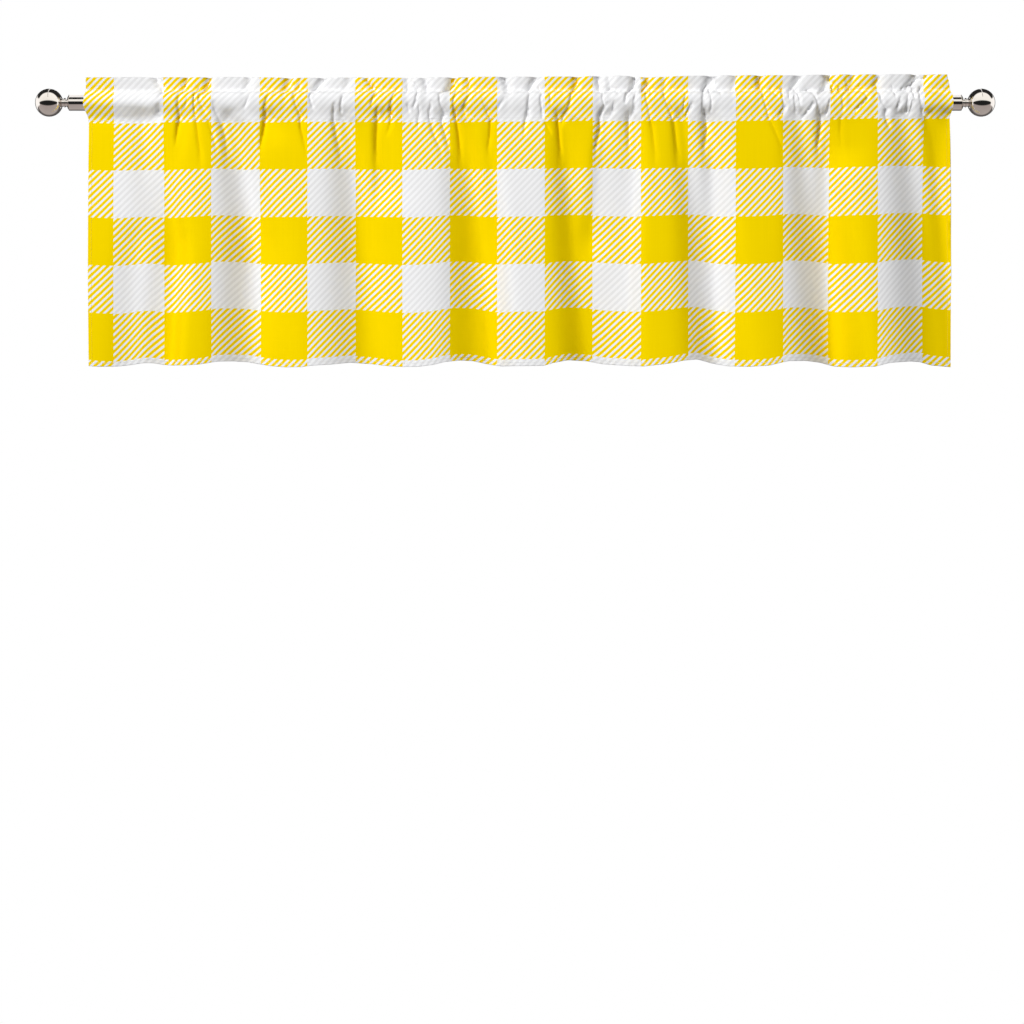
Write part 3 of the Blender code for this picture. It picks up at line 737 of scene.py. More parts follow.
def cloth_finish():
    """Yarn-dyed check in a steep twill: gold and white warps under gold and white wefts."""
    f = new_finish("check_cloth")
    place = f.node("ShaderNodeUVMap", {"uv_map": "cloth"})
    u, v, _ = f.parts(place)
    columns = u / CHECK
    rows = v / CHECK
    gold_warp = ((columns.floor() % 2.0) - 0.5).above(0.0)
    gold_weft = 1.0 - ((rows.floor() % 2.0) - 0.5).above(0.0)

    line = (columns + rows) * TWILL_LINES + TWILL_START
    from_middle = ((line + 0.5).fraction() - 0.5).size() + GOLD_SPREAD * (gold_weft - gold_warp)
    warp_up = 1.0 - from_middle.soft_step(HALF_STRIPE - TWILL_EDGE, HALF_STRIPE + TWILL_EDGE)
    gold = warp_up * gold_warp + (1.0 - warp_up) * gold_weft
    plain_gold = gold_warp * gold_weft
    plain_white = (1.0 - gold_warp) * (1.0 - gold_weft)

    yarn = f.noise(f.stretched(place, WARP_STREAKS), 1.0, FINE_DETAIL)
    slub = f.noise(f.stretched(place, WEFT_STREAKS), 1.0, FINE_DETAIL)
    patchy = f.noise(place, CLOTH_PATCHES, FINE_DETAIL)
    shade = CLOTH_DARKEST + YARN_SHADE * yarn + SLUB_SHADE * slub + PATCH_SHADE * patchy

    white = f.mix(warp_up, WHITE, GREY_STRIPE)
    light = f.mix(plain_white, CREAM_STRIPE, white)
    yellow = f.mix(plain_gold, GOLD_STRIPE, GOLD)
    colour = f.mix(gold, light, yellow)
    colour = f.node("ShaderNodeVectorMath", {"operation": "SCALE"}, {0: colour, 3: shade})

    warp_thread = ((u / THREAD).fraction() - 0.5).size()
    weft_thread = ((v / THREAD).fraction() - 0.5).size()
    weave = warp_up * (0.5 - warp_thread) + (1.0 - warp_up) * (0.5 - weft_thread)
    height = weave + YARN_RELIEF * yarn + SLUB_RELIEF * slub
    return f.surface({
        "Base Color": colour,
        "Roughness": CLOTH_ROUGHNESS + PATCH_ROUGHNESS * patchy,
        "Normal": f.bump(height, *WEAVE_BUMP),
        "Specular IOR Level": CLOTH_SHINE,
    })


def thread_finish(name, shade):
    """Matt sewing thread with a fine twist."""
    f = new_finish(name)
    twist = f.noise(f.stretched(f.position(), THREAD_TWIST), 1.0, FINE_DETAIL)
    return f.surface({
        "Base Color": f.mix(twist, darker(shade, THREAD_DARKEST), shade),
        "Roughness": THREAD_ROUGHNESS,
        "Specular IOR Level": THREAD_SHINE,
    })


def nickel_finish(name, roughness):
    """Polished nickel plate with faint polishing marks and a little dulling."""
    f = new_finish(name)
    place = f.position()
    lines = f.noise(f.stretched(place, POLISH_LINES), 1.0, FINE_DETAIL)
    clouds = f.noise(place, METAL_CLOUDS, CLOUD_DETAIL)
    return f.surface({
        "Base Color": f.mix(clouds, NICKEL, NICKEL_SHADE),
        "Metallic": 1.0,
        "Roughness": roughness + CLOUD_DULLING * clouds + LINE_DULLING * lines,
        "Normal": f.bump(lines, *POLISH_BUMP),
    })


# ------------------------------------------------------------------ the cloth's form


def across(u, z):
    """The place along the rod of a share u of the cloth's width at a height."""
    left = read_table(SIDE_EDGES, "z", "left", z)
    right = read_table(SIDE_EDGES, "z", "right", z)
    return blend(left, right, u)


def lower_stitch(x):
    """Height of the pocket's lower seam, which climbs a little to the right."""
    share = (x - SIDE_EDGES[0].left) / HEM_WIDTH
    return blend(LOWER_STITCH_LEFT, LOWER_STITCH_RIGHT, share)


def seam_height(x):
    """Height where the panel begins, just under the pocket's lower seam."""
    return lower_stitch(x) - SEAM_MARGIN


def drop_length(u):
    """Length of the panel down to its bottom edge, at a share u of the width."""
    return lower_stitch(across(u, UPPER_STITCH)) - BOTTOM_EDGE


def opened(drop):
    """How far the folds have opened at a share of the drop."""
    return 1.0 - (1.0 - drop) ** FOLDS_OPEN


def bell(away, width, power=2.0):
    """1 at the bottom of a dent, fading to 0 on both sides of it."""
    return np.exp(-(np.abs(away / width) ** power))


def fold_depth(x, drop):
    """How far all the folds carry the panel back from its crests.

    A fold's line follows the steepest part of its left flank, so its bottom leans to the
    right of the line by a share of that flank's width.
    """
    total = np.zeros_like(x)
    for fold in FOLDS:
        line = blend(fold.x_top, fold.x_mid, np.minimum(1.0, 2.0 * drop))
        line = line + (fold.x_hem - fold.x_mid) * np.maximum(0.0, 2.0 * drop - 1.0)
        left = blend(fold.width_top, fold.left_hem, np.sqrt(drop))
        right = blend(fold.width_top, fold.right_hem, np.sqrt(drop))
        away = x - line - FOLD_LEAN * left
        width = np.where(away < 0.0, left, right)
        depth = blend(fold.depth_top, fold.depth_hem, opened(drop))
        present = ease((drop - fold.opens) / FADE) * ease((fold.closes - drop) / FADE)
        total += depth * present * bell(away, width)
    return total


def crease_depth(x, z):
    """How far the fine creases push the cloth back at a place seen from the front."""
    total = np.zeros_like(x)
    for crease in CREASES:
        heights = [photo_z(y) for y in (crease.y_low, crease.y_mid, crease.y_high)]
        low, mid, high = heights
        if high + CREASE_END < z.min() or low - CREASE_END > z.max():
            continue
        places = [photo_x(pixel) for pixel in (crease.x_low, crease.x_mid, crease.x_high)]
        depths = (crease.d_low, crease.d_mid, crease.d_high)
        leans = ((places[1] - places[0]) / (mid - low), (places[2] - places[1]) / (high - mid))
        line = np.interp(z, heights, places)
        depth = np.interp(z, heights, depths) * MILLIMETRE
        lean = np.interp(z, (low, high), leans)
        bottom = line + CREASE_BOTTOM + CREASE_LEAN * crease.left * MILLIMETRE
        away = (x - bottom) / np.sqrt(1.0 + lean * lean)
        width = np.where(away < 0.0, crease.left, crease.right) * MILLIMETRE
        ends = ease((high + CREASE_END - z) / CREASE_END) * ease((z - low + CREASE_END) / CREASE_END)
        total += (depth * ends * bell(away, width, CREASE_POWER)) ** CREASE_MERGE
    return CREASE_DEPTH * total ** (1.0 / CREASE_MERGE)


def gathered(x):
    """1 where the gathers fill the pocket, 0 at its smooth ends."""
    return ease((x - FIRST_GATHER) / GATHERS_FADE) * ease((LAST_GATHER - x) / GATHERS_FADE)


def panel_y(x, drop):
    """Depth of the panel's middle surface, crests forward."""
    at_seam = blend(TIGHT_CREST, read_table(HEADING, "x", "crest", x), gathered(x))
    return fold_depth(x, drop) - blend(at_seam, CREST_AT_HEM, opened(drop))


def panel_height(x, drop):
    """Height at a share of the drop."""
    return blend(seam_height(x), read_table(HEM_LINE, "x", "z", x), drop)


def gather_sum(x, rise, column):
    """Sum of the gathers' dents; rise is -1 and 0 at the pocket's seams and 1 at the top."""
    total = np.zeros_like(x)
    for gather in GATHERS:
        line = gather.x + gather.slant * max(rise, 0.0)
        width = gather.width * blend(WIDTH_AT_SEAM, 1.0, abs(rise))
        total += getattr(gather, column) * bell(x - line, width)
    return total


def header_y(x, rise):
    """Depth of the header's middle surface, 0 at the upper seam and 1 at the top."""
    ruffle = GATHER_DEPTH * gather_sum(x, rise, "header_depth")
    return (ruffle - read_table(HEADING, "x", "lean", x)) * blend(SEAM_SHARE, 1.0, rise)


def weave_place(x, flat_z):
    """Where a point of the cloth lies in the check, in metres across and down."""
    pixel = x / PIXEL + ROD_COLUMN
    count = read_table(CHECK_LINES, "pixel", "count", pixel)
    seam = seam_height(x)
    drop = (seam - flat_z) / (seam - BOTTOM_EDGE)
    top = read_table(ROW_SHIFTS, "pixel", "top", pixel)
    low = read_table(ROW_SHIFTS, "pixel", "low", pixel)
    shift = blend(top, low, np.clip(drop, 0.0, 1.0)) * PIXEL / (seam - BOTTOM_EDGE)
    down = (drop - shift - FIRST_CHECK_DROP) / CHECK_DROP
    return np.stack([count * CHECK, down * CHECK], axis=-1)


Row = namedtuple("Row", "points weave")


def stack(x, y, z):
    return np.stack([x, y, z], axis=-1)


def beside(depth, x, side, thickness):
    """Places and depths of points squarely in front of or behind a surface."""
    slope = (depth(x + SLOPE_REACH) - depth(x - SLOPE_REACH)) / (2.0 * SLOPE_REACH)
    length = np.sqrt(1.0 + slope * slope)
    return x - side * slope / length * thickness, depth(x) + side * thickness / length


def panel_row(u, drop, side, thickness):
    """One row across the panel, in front of or behind its middle surface."""
    x = across(u, panel_height(across(u, BOTTOM_EDGE * drop), drop))

    def depth(place):
        return panel_y(place, drop) + crease_depth(place, panel_height(place, drop))

    points = stack(*beside(depth, x, side, thickness), panel_height(x, drop))
    return Row(points, weave_place(x, blend(seam_height(x), BOTTOM_EDGE, drop)))


def seam_turn(y, z, side):
    """Angles from upright of a seam, and of where the cloth from it meets the circle."""
    seam = np.arctan2(side * y, np.abs(z))
    return seam, seam + np.arccos(POCKET_MIDDLE / np.hypot(y, z))


def pocket_place(x, share, side):
    """Depth and height of the pocket's outside, a share of the way up from its lower seam.

    The pocket is drawn round a circle and runs straight from it to its two seams. Between
    the gathers it stands off the rod, squarer than round.
    """
    low, low_meets = seam_turn(panel_y(x, np.zeros_like(x)), lower_stitch(x), side)
    high, high_meets = seam_turn(header_y(x, 0.0), UPPER_STITCH, side)
    angle = blend(np.maximum(0.0, low), math.pi - np.maximum(0.0, high), share)
    off_circle = np.maximum(low_meets - angle, angle - math.pi + high_meets)
    pinch = np.minimum(1.0, gather_sum(x, share - 1.0, "pocket_pinch"))
    slack = gathered(x) * math.sin(math.pi * share)
    lift = POCKET_SLACK * (1.0 - GATHER_PINCH * pinch) * slack
    reach = POCKET_RADIUS / np.cos(np.maximum(0.0, off_circle)) + lift
    power = np.where(np.cos(angle) < 0.0, SQUARE_ABOVE, SQUARE_BELOW)
    corner = np.abs(np.sin(angle)) ** power + np.abs(np.cos(angle)) ** power
    reach = reach * blend(1.0, corner ** (-1.0 / power), slack)
    return side * reach * np.sin(angle), -reach * np.cos(angle)


def pocket_row(u, share, side, inset):
    """One row along the pocket; side is -1 in front, and the inset makes its lining."""
    x = across(u, pocket_place(across(u, 0.0), share, side)[1])
    y, z = pocket_place(x, share, side)
    apart = np.clip((side * y - BACK_STARTS) / (BACK_FULL - BACK_STARTS), 0.0, 1.0)
    depth = crease_depth(x, z)
    crease = depth if side < 0.0 else blend(depth, -BACK_CREASE * depth, apart)
    least = ROD_RADIUS + ROD_CLEARANCE + 2.0 * HALF_LAYER + TURNED_LAYER
    limit = side * np.sqrt(np.maximum(least * least - z * z, 0.0))
    too_near = (np.abs(z) < least) & (side * (y + crease) < side * limit)
    y = np.where(too_near, limit, y + crease)
    away = np.hypot(y, z)
    points = stack(x, y - y / away * inset, z - z / away * inset)
    return Row(points, weave_place(x, z))


def header_row(u, rise, side, thickness):
    """One row across the header."""
    guess = across(u, UPPER_STITCH)
    top = read_table(HEADER_TOP, "x", "z", guess)
    z = blend(UPPER_STITCH + SEAM_MARGIN, top, rise)
    x = across(u, z)

    def depth(place):
        return header_y(place, rise) + crease_depth(place, z)

    return Row(stack(*beside(depth, x, side, thickness), z), weave_place(x, z))


def lower_drops(u, rows):
    """Shares of the drop over the lower panel, and whether the cloth is turned up there."""
    drop = drop_length(u)
    hem_top = 1.0 - HEM_HEIGHT / drop
    found = [(np.ones_like(u), True), (1.0 - HEM_ROUND / drop, True)]
    found += [(hem_top, True), (hem_top - HEM_STEP / drop, False)]
    for i in range(rows):
        found.append((np.full_like(u, blend(LOWEST_ROW, UPPER_PANEL_SHARE, i / rows)), False))
    return found


def upper_drops(u, rows):
    """Shares of the drop from there up to the pocket's seam."""
    turned = TURNED_EDGE / drop_length(u)
    found = []
    for i in range(rows):
        share = blend(UPPER_PANEL_SHARE, HIGHEST_ROW, i / (rows - 1))
        found.append((np.full_like(u, share), False))
    return found + [(turned, False), (TURNED_FULL * turned, True), (np.zeros_like(u), True)]


def thin(row):
    """The points of a fine row that a plain row has too."""
    return Row(row.points[::FINER], row.weave[::FINER])


def header_rows(u, side, count):
    rows = []
    for i in range(count):
        rise = i / (count - 1)
        puff = HALF_LAYER * 2.0 + HEADER_PUFF * math.sin(math.pi * PUFF_TOP * rise)
        rows.append(header_row(u, rise, side, np.full_like(u, puff)))
    return rows


def cloth_rows(u, fine):
    """The cloth's outline from the hem round the header and back, and the pocket's.

    The front of the heading has finer rows than the rest.
    """
    side_hem = np.minimum(u, 1.0 - u) * HEM_WIDTH <= HEM_HEIGHT * HEM_ROUNDING
    front = [panel_row(u, drop, -1.0, HALF_LAYER) for drop, _ in lower_drops(u, FRONT_ROWS[0])]
    upper = upper_drops(fine, FRONT_ROWS[1])
    front += [panel_row(fine, drop, -1.0, HALF_LAYER) for drop, _ in upper]
    back = []
    for drop, turned in lower_drops(u, BACK_ROWS[0]) + upper_drops(u, BACK_ROWS[1]):
        behind = HALF_LAYER + TURNED_LAYER * np.where(side_hem | turned, 1.0, 0.0)
        back.append(panel_row(u, drop, 1.0, behind))
    front_seam, back_seam = len(front) - 1, len(back) - 1

    inset = 2.0 * HALF_LAYER + TURNED_LAYER * np.where(side_hem, 1.0, 0.0)
    front += [pocket_row(fine, share, -1.0, 0.0) for share in shares(FRONT_POCKET_ROWS)]
    back += [pocket_row(u, share, 1.0, 0.0) for share in shares(BACK_POCKET_ROWS)]
    lining_front = [pocket_row(u, share, -1.0, inset) for share in shares(LINING_ROWS)]
    lining_back = [pocket_row(u, share, 1.0, inset) for share in shares(LINING_ROWS)]
    front_header, back_header = len(front), len(back)
    front += header_rows(fine, -1.0, FRONT_HEADER_ROWS)
    back += header_rows(u, 1.0, BACK_HEADER_ROWS)

    hem = middle_row(front[0], back[0], -FOLDED_EDGE)
    top = middle_row(thin(front[-1]), back[-1], FOLDED_EDGE)
    lowest = seam_row(thin(front[front_seam]), back[back_seam], -1.0)
    highest = seam_row(thin(front[front_header]), back[back_header], 1.0)
    outline = [hem] + front + [top] + back[::-1]
    pocket = [lowest] + lining_front + [highest] + lining_back[::-1]
    marks = (len(front), front_seam, front_header, len(back), back_seam, back_header)
    return outline, pocket, marks


def shares(count):
    """Even steps between two seams, without the seams themselves."""
    return [(i + 1) / (count + 1) for i in range(count)]


def middle_row(first, second, lift):
    """A row between two others, raised or lowered a little to round a folded edge."""
    points = (first.points + second.points) / 2.0
    points[:, 2] += lift
    return Row(points, (first.weave + second.weave) / 2.0)


def seam_row(first, second, way):
    """Where the pocket's two walls meet inside, just past the stitching."""
    points = (first.points + second.points) / 2.0
    points[:, 2] -= way * SEAM_TUCK
    return Row(points, first.weave.copy())


def zip_ends(first, second):
    """Triangles between two chains of (key, vertex), from their low keys to their high."""
    faces = []
    i = j = 0
    while i < len(first) - 1 or j < len(second) - 1:
        step_first = j == len(second) - 1
        if i < len(first) - 1 and not step_first:
            step_first = first[i + 1][0] <= second[j + 1][0]
        if step_first:
            face = (first[i][1], first[i + 1][1], second[j][1])
            i += 1
        else:
            face = (first[i][1], second[j + 1][1], second[j][1])
            j += 1
        if len(set(face)) == 3:
            faces.append(face)
    return faces


def end_faces(marks, ends, start):
    """Faces that close one end of the cloth and leave the pocket's mouth open.

    ends has the rows' end vertices; those from start on are the pocket's.
    """
    fronts, front_seam, front_header, backs, back_seam, back_header = marks
    front = ends[1:1 + fronts]
    top = ends[1 + fronts]
    back = ends[1 + fronts + backs:1 + fronts:-1]
    turns = LINING_ROWS
    lowest = ends[start]
    lining_front = ends[start + 1:start + 1 + turns]
    highest = ends[start + 1 + turns]
    lining_back = ends[:start + 1 + turns:-1]

    def share(chain, first, last):
        return [((i - first) / (last - first), chain[i]) for i in range(first, last + 1)]

    faces = [(front[0], back[0], ends[0]), (front[-1], back[-1], top)]
    faces += zip_ends(share(front, 0, front_seam), share(back, 0, back_seam))
    faces += zip_ends(share(front, front_header, fronts - 1), share(back, back_header, backs - 1))
    faces.append((front[front_seam], lowest, back[back_seam]))
    faces.append((front[front_header], highest, back[back_header]))
    for chain, first, last, lining in (
        (front, front_seam, front_header, lining_front),
        (back, back_seam, back_header, lining_back),
    ):
        inner = share([lowest] + lining + [highest], 0, turns + 1)
        faces += zip_ends(share(chain, first, last), inner)
    return faces


def between(first, second, count, other):
    """Faces between two rows of vertices, of which the second may be finer or coarser."""
    if count == other:
        return [(first + j, first + j + 1, second + j + 1, second + j) for j in range(count - 1)]
    if count > other:
        first, second, count = second, first, other
    faces = []
    for j in range(count - 1):
        along = [second + FINER * j + step for step in range(FINER, -1, -1)]
        faces.append((first + j, first + j + 1, *along))
    return faces


def make_cloth(finish):
    """The valance as one closed sheet of cloth."""
    hem = HEM_HEIGHT / HEM_WIDTH
    inset = (HEM_HEIGHT + HEM_STEP) / HEM_WIDTH
    inner = np.linspace(inset, 1.0 - inset, STATIONS - 4)
    u = np.concatenate([[0.0, hem], inner, [1.0 - hem, 1.0]])
    steps = np.arange(FINER * (STATIONS - 1) + 1) / FINER
    fine = np.interp(steps, np.arange(STATIONS), u)
    outline, pocket, marks = cloth_rows(u, fine)

    rows = outline + pocket
    counts = [len(row.points) for row in rows]
    starts = [sum(counts[:i]) for i in range(len(rows))]
    points = np.concatenate([row.points for row in rows])
    weave = np.concatenate([row.weave for row in rows])
    faces = []
    for first, length in ((0, len(outline)), (len(outline), len(pocket))):
        for i in range(length):
            low, high = first + i, first + (i + 1) % length
            faces += between(starts[low], starts[high], counts[low], counts[high])
    last = [start + count - 1 for start, count in zip(starts, counts)]
    for ends in (starts, last):
        faces += end_faces(marks, ends, len(outline))

    mesh = new_mesh("cloth", points.tolist(), faces, finish)
    uv_layer = mesh.uv_layers.new(name="cloth")
    corners = np.zeros(len(mesh.loops), dtype=np.int32)
    mesh.loops.foreach_get("vertex_index", corners)
    uv_layer.data.foreach_set("uv", weave[corners].astype(np.float32).ravel())
    face_outwards(mesh)
    mesh.shade_smooth()
    mesh.set_sharp_from_angle(angle=CLOTH_EDGE)
    return add_piece("valance_cloth", mesh)


def new_mesh(name, points, faces, finish):
    """A mesh with one finish on all its faces."""
    mesh = bpy.data.meshes.new(name)
    mesh.from_pydata(points, [], faces)
    mesh.materials.append(finish)
    return mesh


def face_outwards(mesh):
    """Turn every face of a closed mesh outwards."""
    bm = bmesh.new()
    bm.from_mesh(mesh)
    bmesh.ops.recalc_face_normals(bm, faces=bm.faces)
    bm.to_mesh(mesh)
    bm.free()


def add_piece(name, mesh):
    piece = bpy.data.objects.new(name, mesh)
    bpy.context.scene.collection.objects.link(piece)
    return piece


# ------------------------------------------------------------------ stitching


def stitch_paths():
    """Lines of stitching on both faces of the cloth: those across it, and its sides'."""
    u = np.linspace(*STITCH_ENDS, PATH_POINTS)
    down = np.linspace(*SIDE_STITCH_ENDS, SIDE_PATH_POINTS)
    from_edge = HEM_HEIGHT - STITCH_FROM_FOLD
    hem = from_edge / HEM_WIDTH
    drop = drop_length(u)
    above_hem = 1.0 - from_edge / drop
    out = STITCH_RADIUS * STITCH_PROUD + STITCH_LIFT
    front, back = HALF_LAYER + out, HALF_LAYER + TURNED_LAYER + out
    seams, sides = [], []
    for side, lift in ((-1.0, front), (1.0, back)):
        seams.append(panel_row(u, above_hem, side, lift).points)
        seams.append(panel_row(u, STITCH_UNDER_SEAM / drop, side, lift).points)
        header = np.full_like(u, HALF_LAYER * 2.0 + out)
        seams.append(header_row(u, STITCH_OVER_SEAM, side, header).points)
        for place in (hem, 1.0 - hem):
            edge = np.full_like(down, place)
            sides.append(panel_row(edge, down, side, lift).points)
    return seams, sides


def make_stitching(name, lines, finish):
    """Thread stitches along lines of points, made by Geometry Nodes."""
    points, edges = [], []
    for path in lines:
        start = len(points)
        points += path.tolist()
        edges += [(start + i, start + i + 1) for i in range(len(path) - 1)]
    mesh = bpy.data.meshes.new(name)
    mesh.from_pydata(points, edges, [])
    paths = add_piece(name, mesh)

    tree = stitch_tree()
    modifier = paths.modifiers.new("stitches", "NODES")
    modifier.node_group = tree
    values = {
        "Pitch": STITCH_PITCH,
        "Stitch Length": STITCH_LENGTH,
        "Thread Radius": STITCH_RADIUS,
        "Material": finish,
    }
    for item in tree.interface.items_tree:
        if item.item_type == "SOCKET" and item.in_out == "INPUT" and item.name in values:
            modifier[item.identifier] = values[item.name]
    bpy.context.view_layer.update()
    evaluated = paths.evaluated_get(bpy.context.evaluated_depsgraph_get())
    result = bpy.data.meshes.new_from_object(evaluated)
    paths.modifiers.remove(modifier)
    paths.data = result
    return paths


def stitch_tree():
    """Instances of one short thread along a path, turned to follow it."""
    tree = bpy.data.node_groups.new("stitches", "GeometryNodeTree")
    sockets = (
        ("Geometry", "NodeSocketGeometry"),
        ("Pitch", "NodeSocketFloat"),
        ("Stitch Length", "NodeSocketFloat"),
        ("Thread Radius", "NodeSocketFloat"),
        ("Material", "NodeSocketMaterial"),
    )
    for name, kind in sockets:
        tree.interface.new_socket(name, in_out="INPUT", socket_type=kind)
    tree.interface.new_socket("Geometry", in_out="OUTPUT", socket_type="NodeSocketGeometry")

    def add(kind, settings=None, **links):
        made = tree.nodes.new(kind)
        for name, value in (settings or {}).items():
            setattr(made, name, value)
        for name, value in links.items():
            socket = made.inputs[name.replace("_", " ")]
            if hasattr(value, "is_output"):
                tree.links.new(value, socket)
            else:
                socket.default_value = value
        return made

    given = add("NodeGroupInput").outputs
    curve = add("GeometryNodeMeshToCurve", Mesh=given["Geometry"])
    even = add(
        "GeometryNodeResampleCurve", {"mode": "LENGTH"},
        Curve=curve.outputs[0], Length=given["Pitch"],
    )
    along = add("GeometryNodeInputTangent")
    turned = add("FunctionNodeAlignRotationToVector", {"axis": "Z"}, Vector=along.outputs[0])
    thread = add(
        "GeometryNodeMeshCylinder", {"fill_type": "TRIANGLE_FAN"},
        Vertices=THREAD_SIDES, Radius=given["Thread Radius"], Depth=given["Stitch Length"],
    )
    smooth = add("GeometryNodeSetShadeSmooth", Geometry=thread.outputs[0])
    placed = add(
        "GeometryNodeInstanceOnPoints", Points=even.outputs[0],
        Instance=smooth.outputs[0], Rotation=turned.outputs[0],
    )
    real = add("GeometryNodeRealizeInstances", Geometry=placed.outputs[0])
    dressed = add(
        "GeometryNodeSetMaterial", Geometry=real.outputs[0], Material=given["Material"]
    )
    add("NodeGroupOutput", Geometry=dressed.outputs[0])
    return tree


# ------------------------------------------------------------------ rod and finials


def turned_mesh(name, profile, finish):
    """A profile of (along, radius) points turned round the X axis; radius 0 is a pole."""
    bm = bmesh.new()
    rings = []
    for along, radius in profile:
        if radius == 0.0:
            rings.append([bm.verts.new((along, 0.0, 0.0))])
            continue
        spins = [2.0 * math.pi * i / METAL_SIDES for i in range(METAL_SIDES)]
        rings.append([
            bm.verts.new((along, radius * math.sin(spin), radius * math.cos(spin)))
            for spin in spins
        ])
    closed = profile[0][1] > 0.0 and profile[-1][1] > 0.0
    pairs = list(zip(rings, rings[1:])) + ([(rings[-1], rings[0])] if closed else [])
    for first, second in pairs:
        for i in range(METAL_SIDES):
            j = (i + 1) % METAL_SIDES
            corners = [first[i % len(first)], first[j % len(first)]]
            corners += [second[j % len(second)], second[i % len(second)]]
            bm.faces.new(list(dict.fromkeys(corners)))
    bmesh.ops.recalc_face_normals(bm, faces=bm.faces)
    mesh = bpy.data.meshes.new(name)
    bm.to_mesh(mesh)
    bm.free()
    mesh.materials.append(finish)
    mesh.shade_smooth()
    mesh.set_sharp_from_angle(angle=METAL_EDGE)
    return mesh


def make_rod(finish):
    """The tube, open at both ends, with its outer edges broken."""
    half = ROD_LENGTH / 2.0
    bore = ROD_RADIUS - ROD_WALL
    profile = [
        (-half, bore),
        (-half, ROD_RADIUS - ROD_EDGE),
        (-half + ROD_EDGE, ROD_RADIUS),
        (half - ROD_EDGE, ROD_RADIUS),
        (half, ROD_RADIUS - ROD_EDGE),
        (half, bore),
    ]
    return add_piece("rod_tube", turned_mesh("rod_tube", profile, finish))


def finial_profile():
    """The finial's outline from inside the tube outwards; 0 is the tube's end."""
    ball_centre = (OVERALL_LENGTH - ROD_LENGTH) / 2.0 - BALL_RADIUS
    collar_end = SEAT_GAP + COLLAR_LENGTH
    bead_middle = (collar_end + ball_centre - BALL_RADIUS) / 2.0 + BEAD_WIDTH / 4.0
    profile = [
        (-PLUG_LENGTH, 0.0),
        (-PLUG_LENGTH, PLUG_RADIUS - PLUG_CHAMFER),
        (-PLUG_LENGTH + PLUG_CHAMFER, PLUG_RADIUS),
        (SEAT_GAP, PLUG_RADIUS),
        (SEAT_GAP, ROD_RADIUS - ROD_EDGE),
        (SEAT_GAP + ROD_EDGE, ROD_RADIUS),
        (collar_end, COLLAR_END_RADIUS),
        (collar_end, NECK_RADIUS),
    ]
    for i in range(BEAD_STEPS + 1):
        turn = math.pi * i / BEAD_STEPS
        along = bead_middle - BEAD_WIDTH / 2.0 * math.cos(turn)
        profile.append((along, blend(NECK_RADIUS, BEAD_RADIUS, math.sin(turn))))
    start = math.asin(NECK_RADIUS / BALL_RADIUS)
    for i in range(BALL_STEPS):
        angle = blend(start, math.pi, i / BALL_STEPS)
        radius = BALL_RADIUS * math.sin(angle)
        profile.append((ball_centre - BALL_RADIUS * math.cos(angle), radius))
    profile.append((ball_centre + BALL_RADIUS, 0.0))
    return profile


def make_finial(name, side, finish):
    """A ball finial in one end of the tube; side is -1 at the left."""
    shift = ROD_LENGTH / 2.0
    profile = [(side * (along + shift), radius) for along, radius in finial_profile()]
    return add_piece(name, turned_mesh(name, profile, finish))


# ------------------------------------------------------------------ studio


def make_camera():
    """Square on, far enough back to look flat, framed as the photograph is."""
    camera = bpy.data.cameras.new("camera")
    camera.lens = LENS
    camera.sensor_width = SENSOR
    camera.clip_end = CLIP_END
    holder = bpy.data.objects.new("camera", camera)
    holder.location = (photo_x(PHOTO_SIZE / 2.0), -CAMERA_REACH, photo_z(PHOTO_SIZE / 2.0))
    holder.rotation_euler = (math.pi / 2.0, 0.0, 0.0)
    bpy.context.scene.collection.objects.link(holder)
    bpy.context.scene.camera = holder


def add_area_light(lamp):
    """A square light that faces the valance and shows in no reflection."""
    light = bpy.data.lights.new(lamp.name, "AREA")
    light.shape = "SQUARE"
    light.size = lamp.size
    light.energy = lamp.power
    holder = bpy.data.objects.new(lamp.name, light)
    holder.location = lamp.place
    x, y, z = np.array(LAMP_AIM) - np.array(lamp.place)
    tilt = math.atan2(math.hypot(x, y), -z)
    holder.rotation_euler = (tilt, 0.0, math.atan2(y, x) - math.pi / 2.0)
    holder.visible_glossy = False
    bpy.context.scene.collection.objects.link(holder)


# The soft key light in front, and a fill for the back of the cloth.
LAMPS = table(
    "name place size power",
    ("key", (-5.06, -11.55, 5.89), 3.0, 1980.0),
    ("fill_behind", (2.60, 12.00, 2.40), 3.0, 1250.0),
)
LAMP_AIM = (0.0, 0.0, -0.2)

# What the metal reflects at each height, in degrees up from straight in front.
REFLECTORS = table(
    "angle red green blue",
    (-180.0, 0.10, 0.10, 0.10),
    (-140.0, 0.12, 0.11, 0.11),
    (-128.0, 0.30, 0.27, 0.26),
    (-118.0, 0.54, 0.49, 0.47),
    (-34.0, 0.48, 0.42, 0.40),
    (-26.0, 0.02, 0.02, 0.02),
    (10.0, 0.02, 0.02, 0.02),
    (17.0, 1.25, 1.24, 1.18),
    (84.0, 1.35, 1.34, 1.28),
    (92.0, 0.02, 0.02, 0.02),
    (180.0, 0.04, 0.04, 0.04),
)
AMBIENT = 0.10
WHITE_WALL = (1.35, 1.34, 1.32, 1.0)
PURE_WHITE = (1.0, 1.0, 1.0, 1.0)

# Where the white walls at the two sides begin and end, with soft edges, as parts of the way
# out to the side, backwards and upwards.
WALL_SIDE = (0.45, 0.55)
WALL_FRONT = (-0.25, -0.12)
WALL_BACK = (0.72, 0.82)
WALL_FOOT = (-0.32, -0.22)
WALL_TOP = (0.32, 0.45)

FLOOR_LEVEL = -1.75
FLOOR_REACH = 2.6
FLOOR_BACK = 1.35

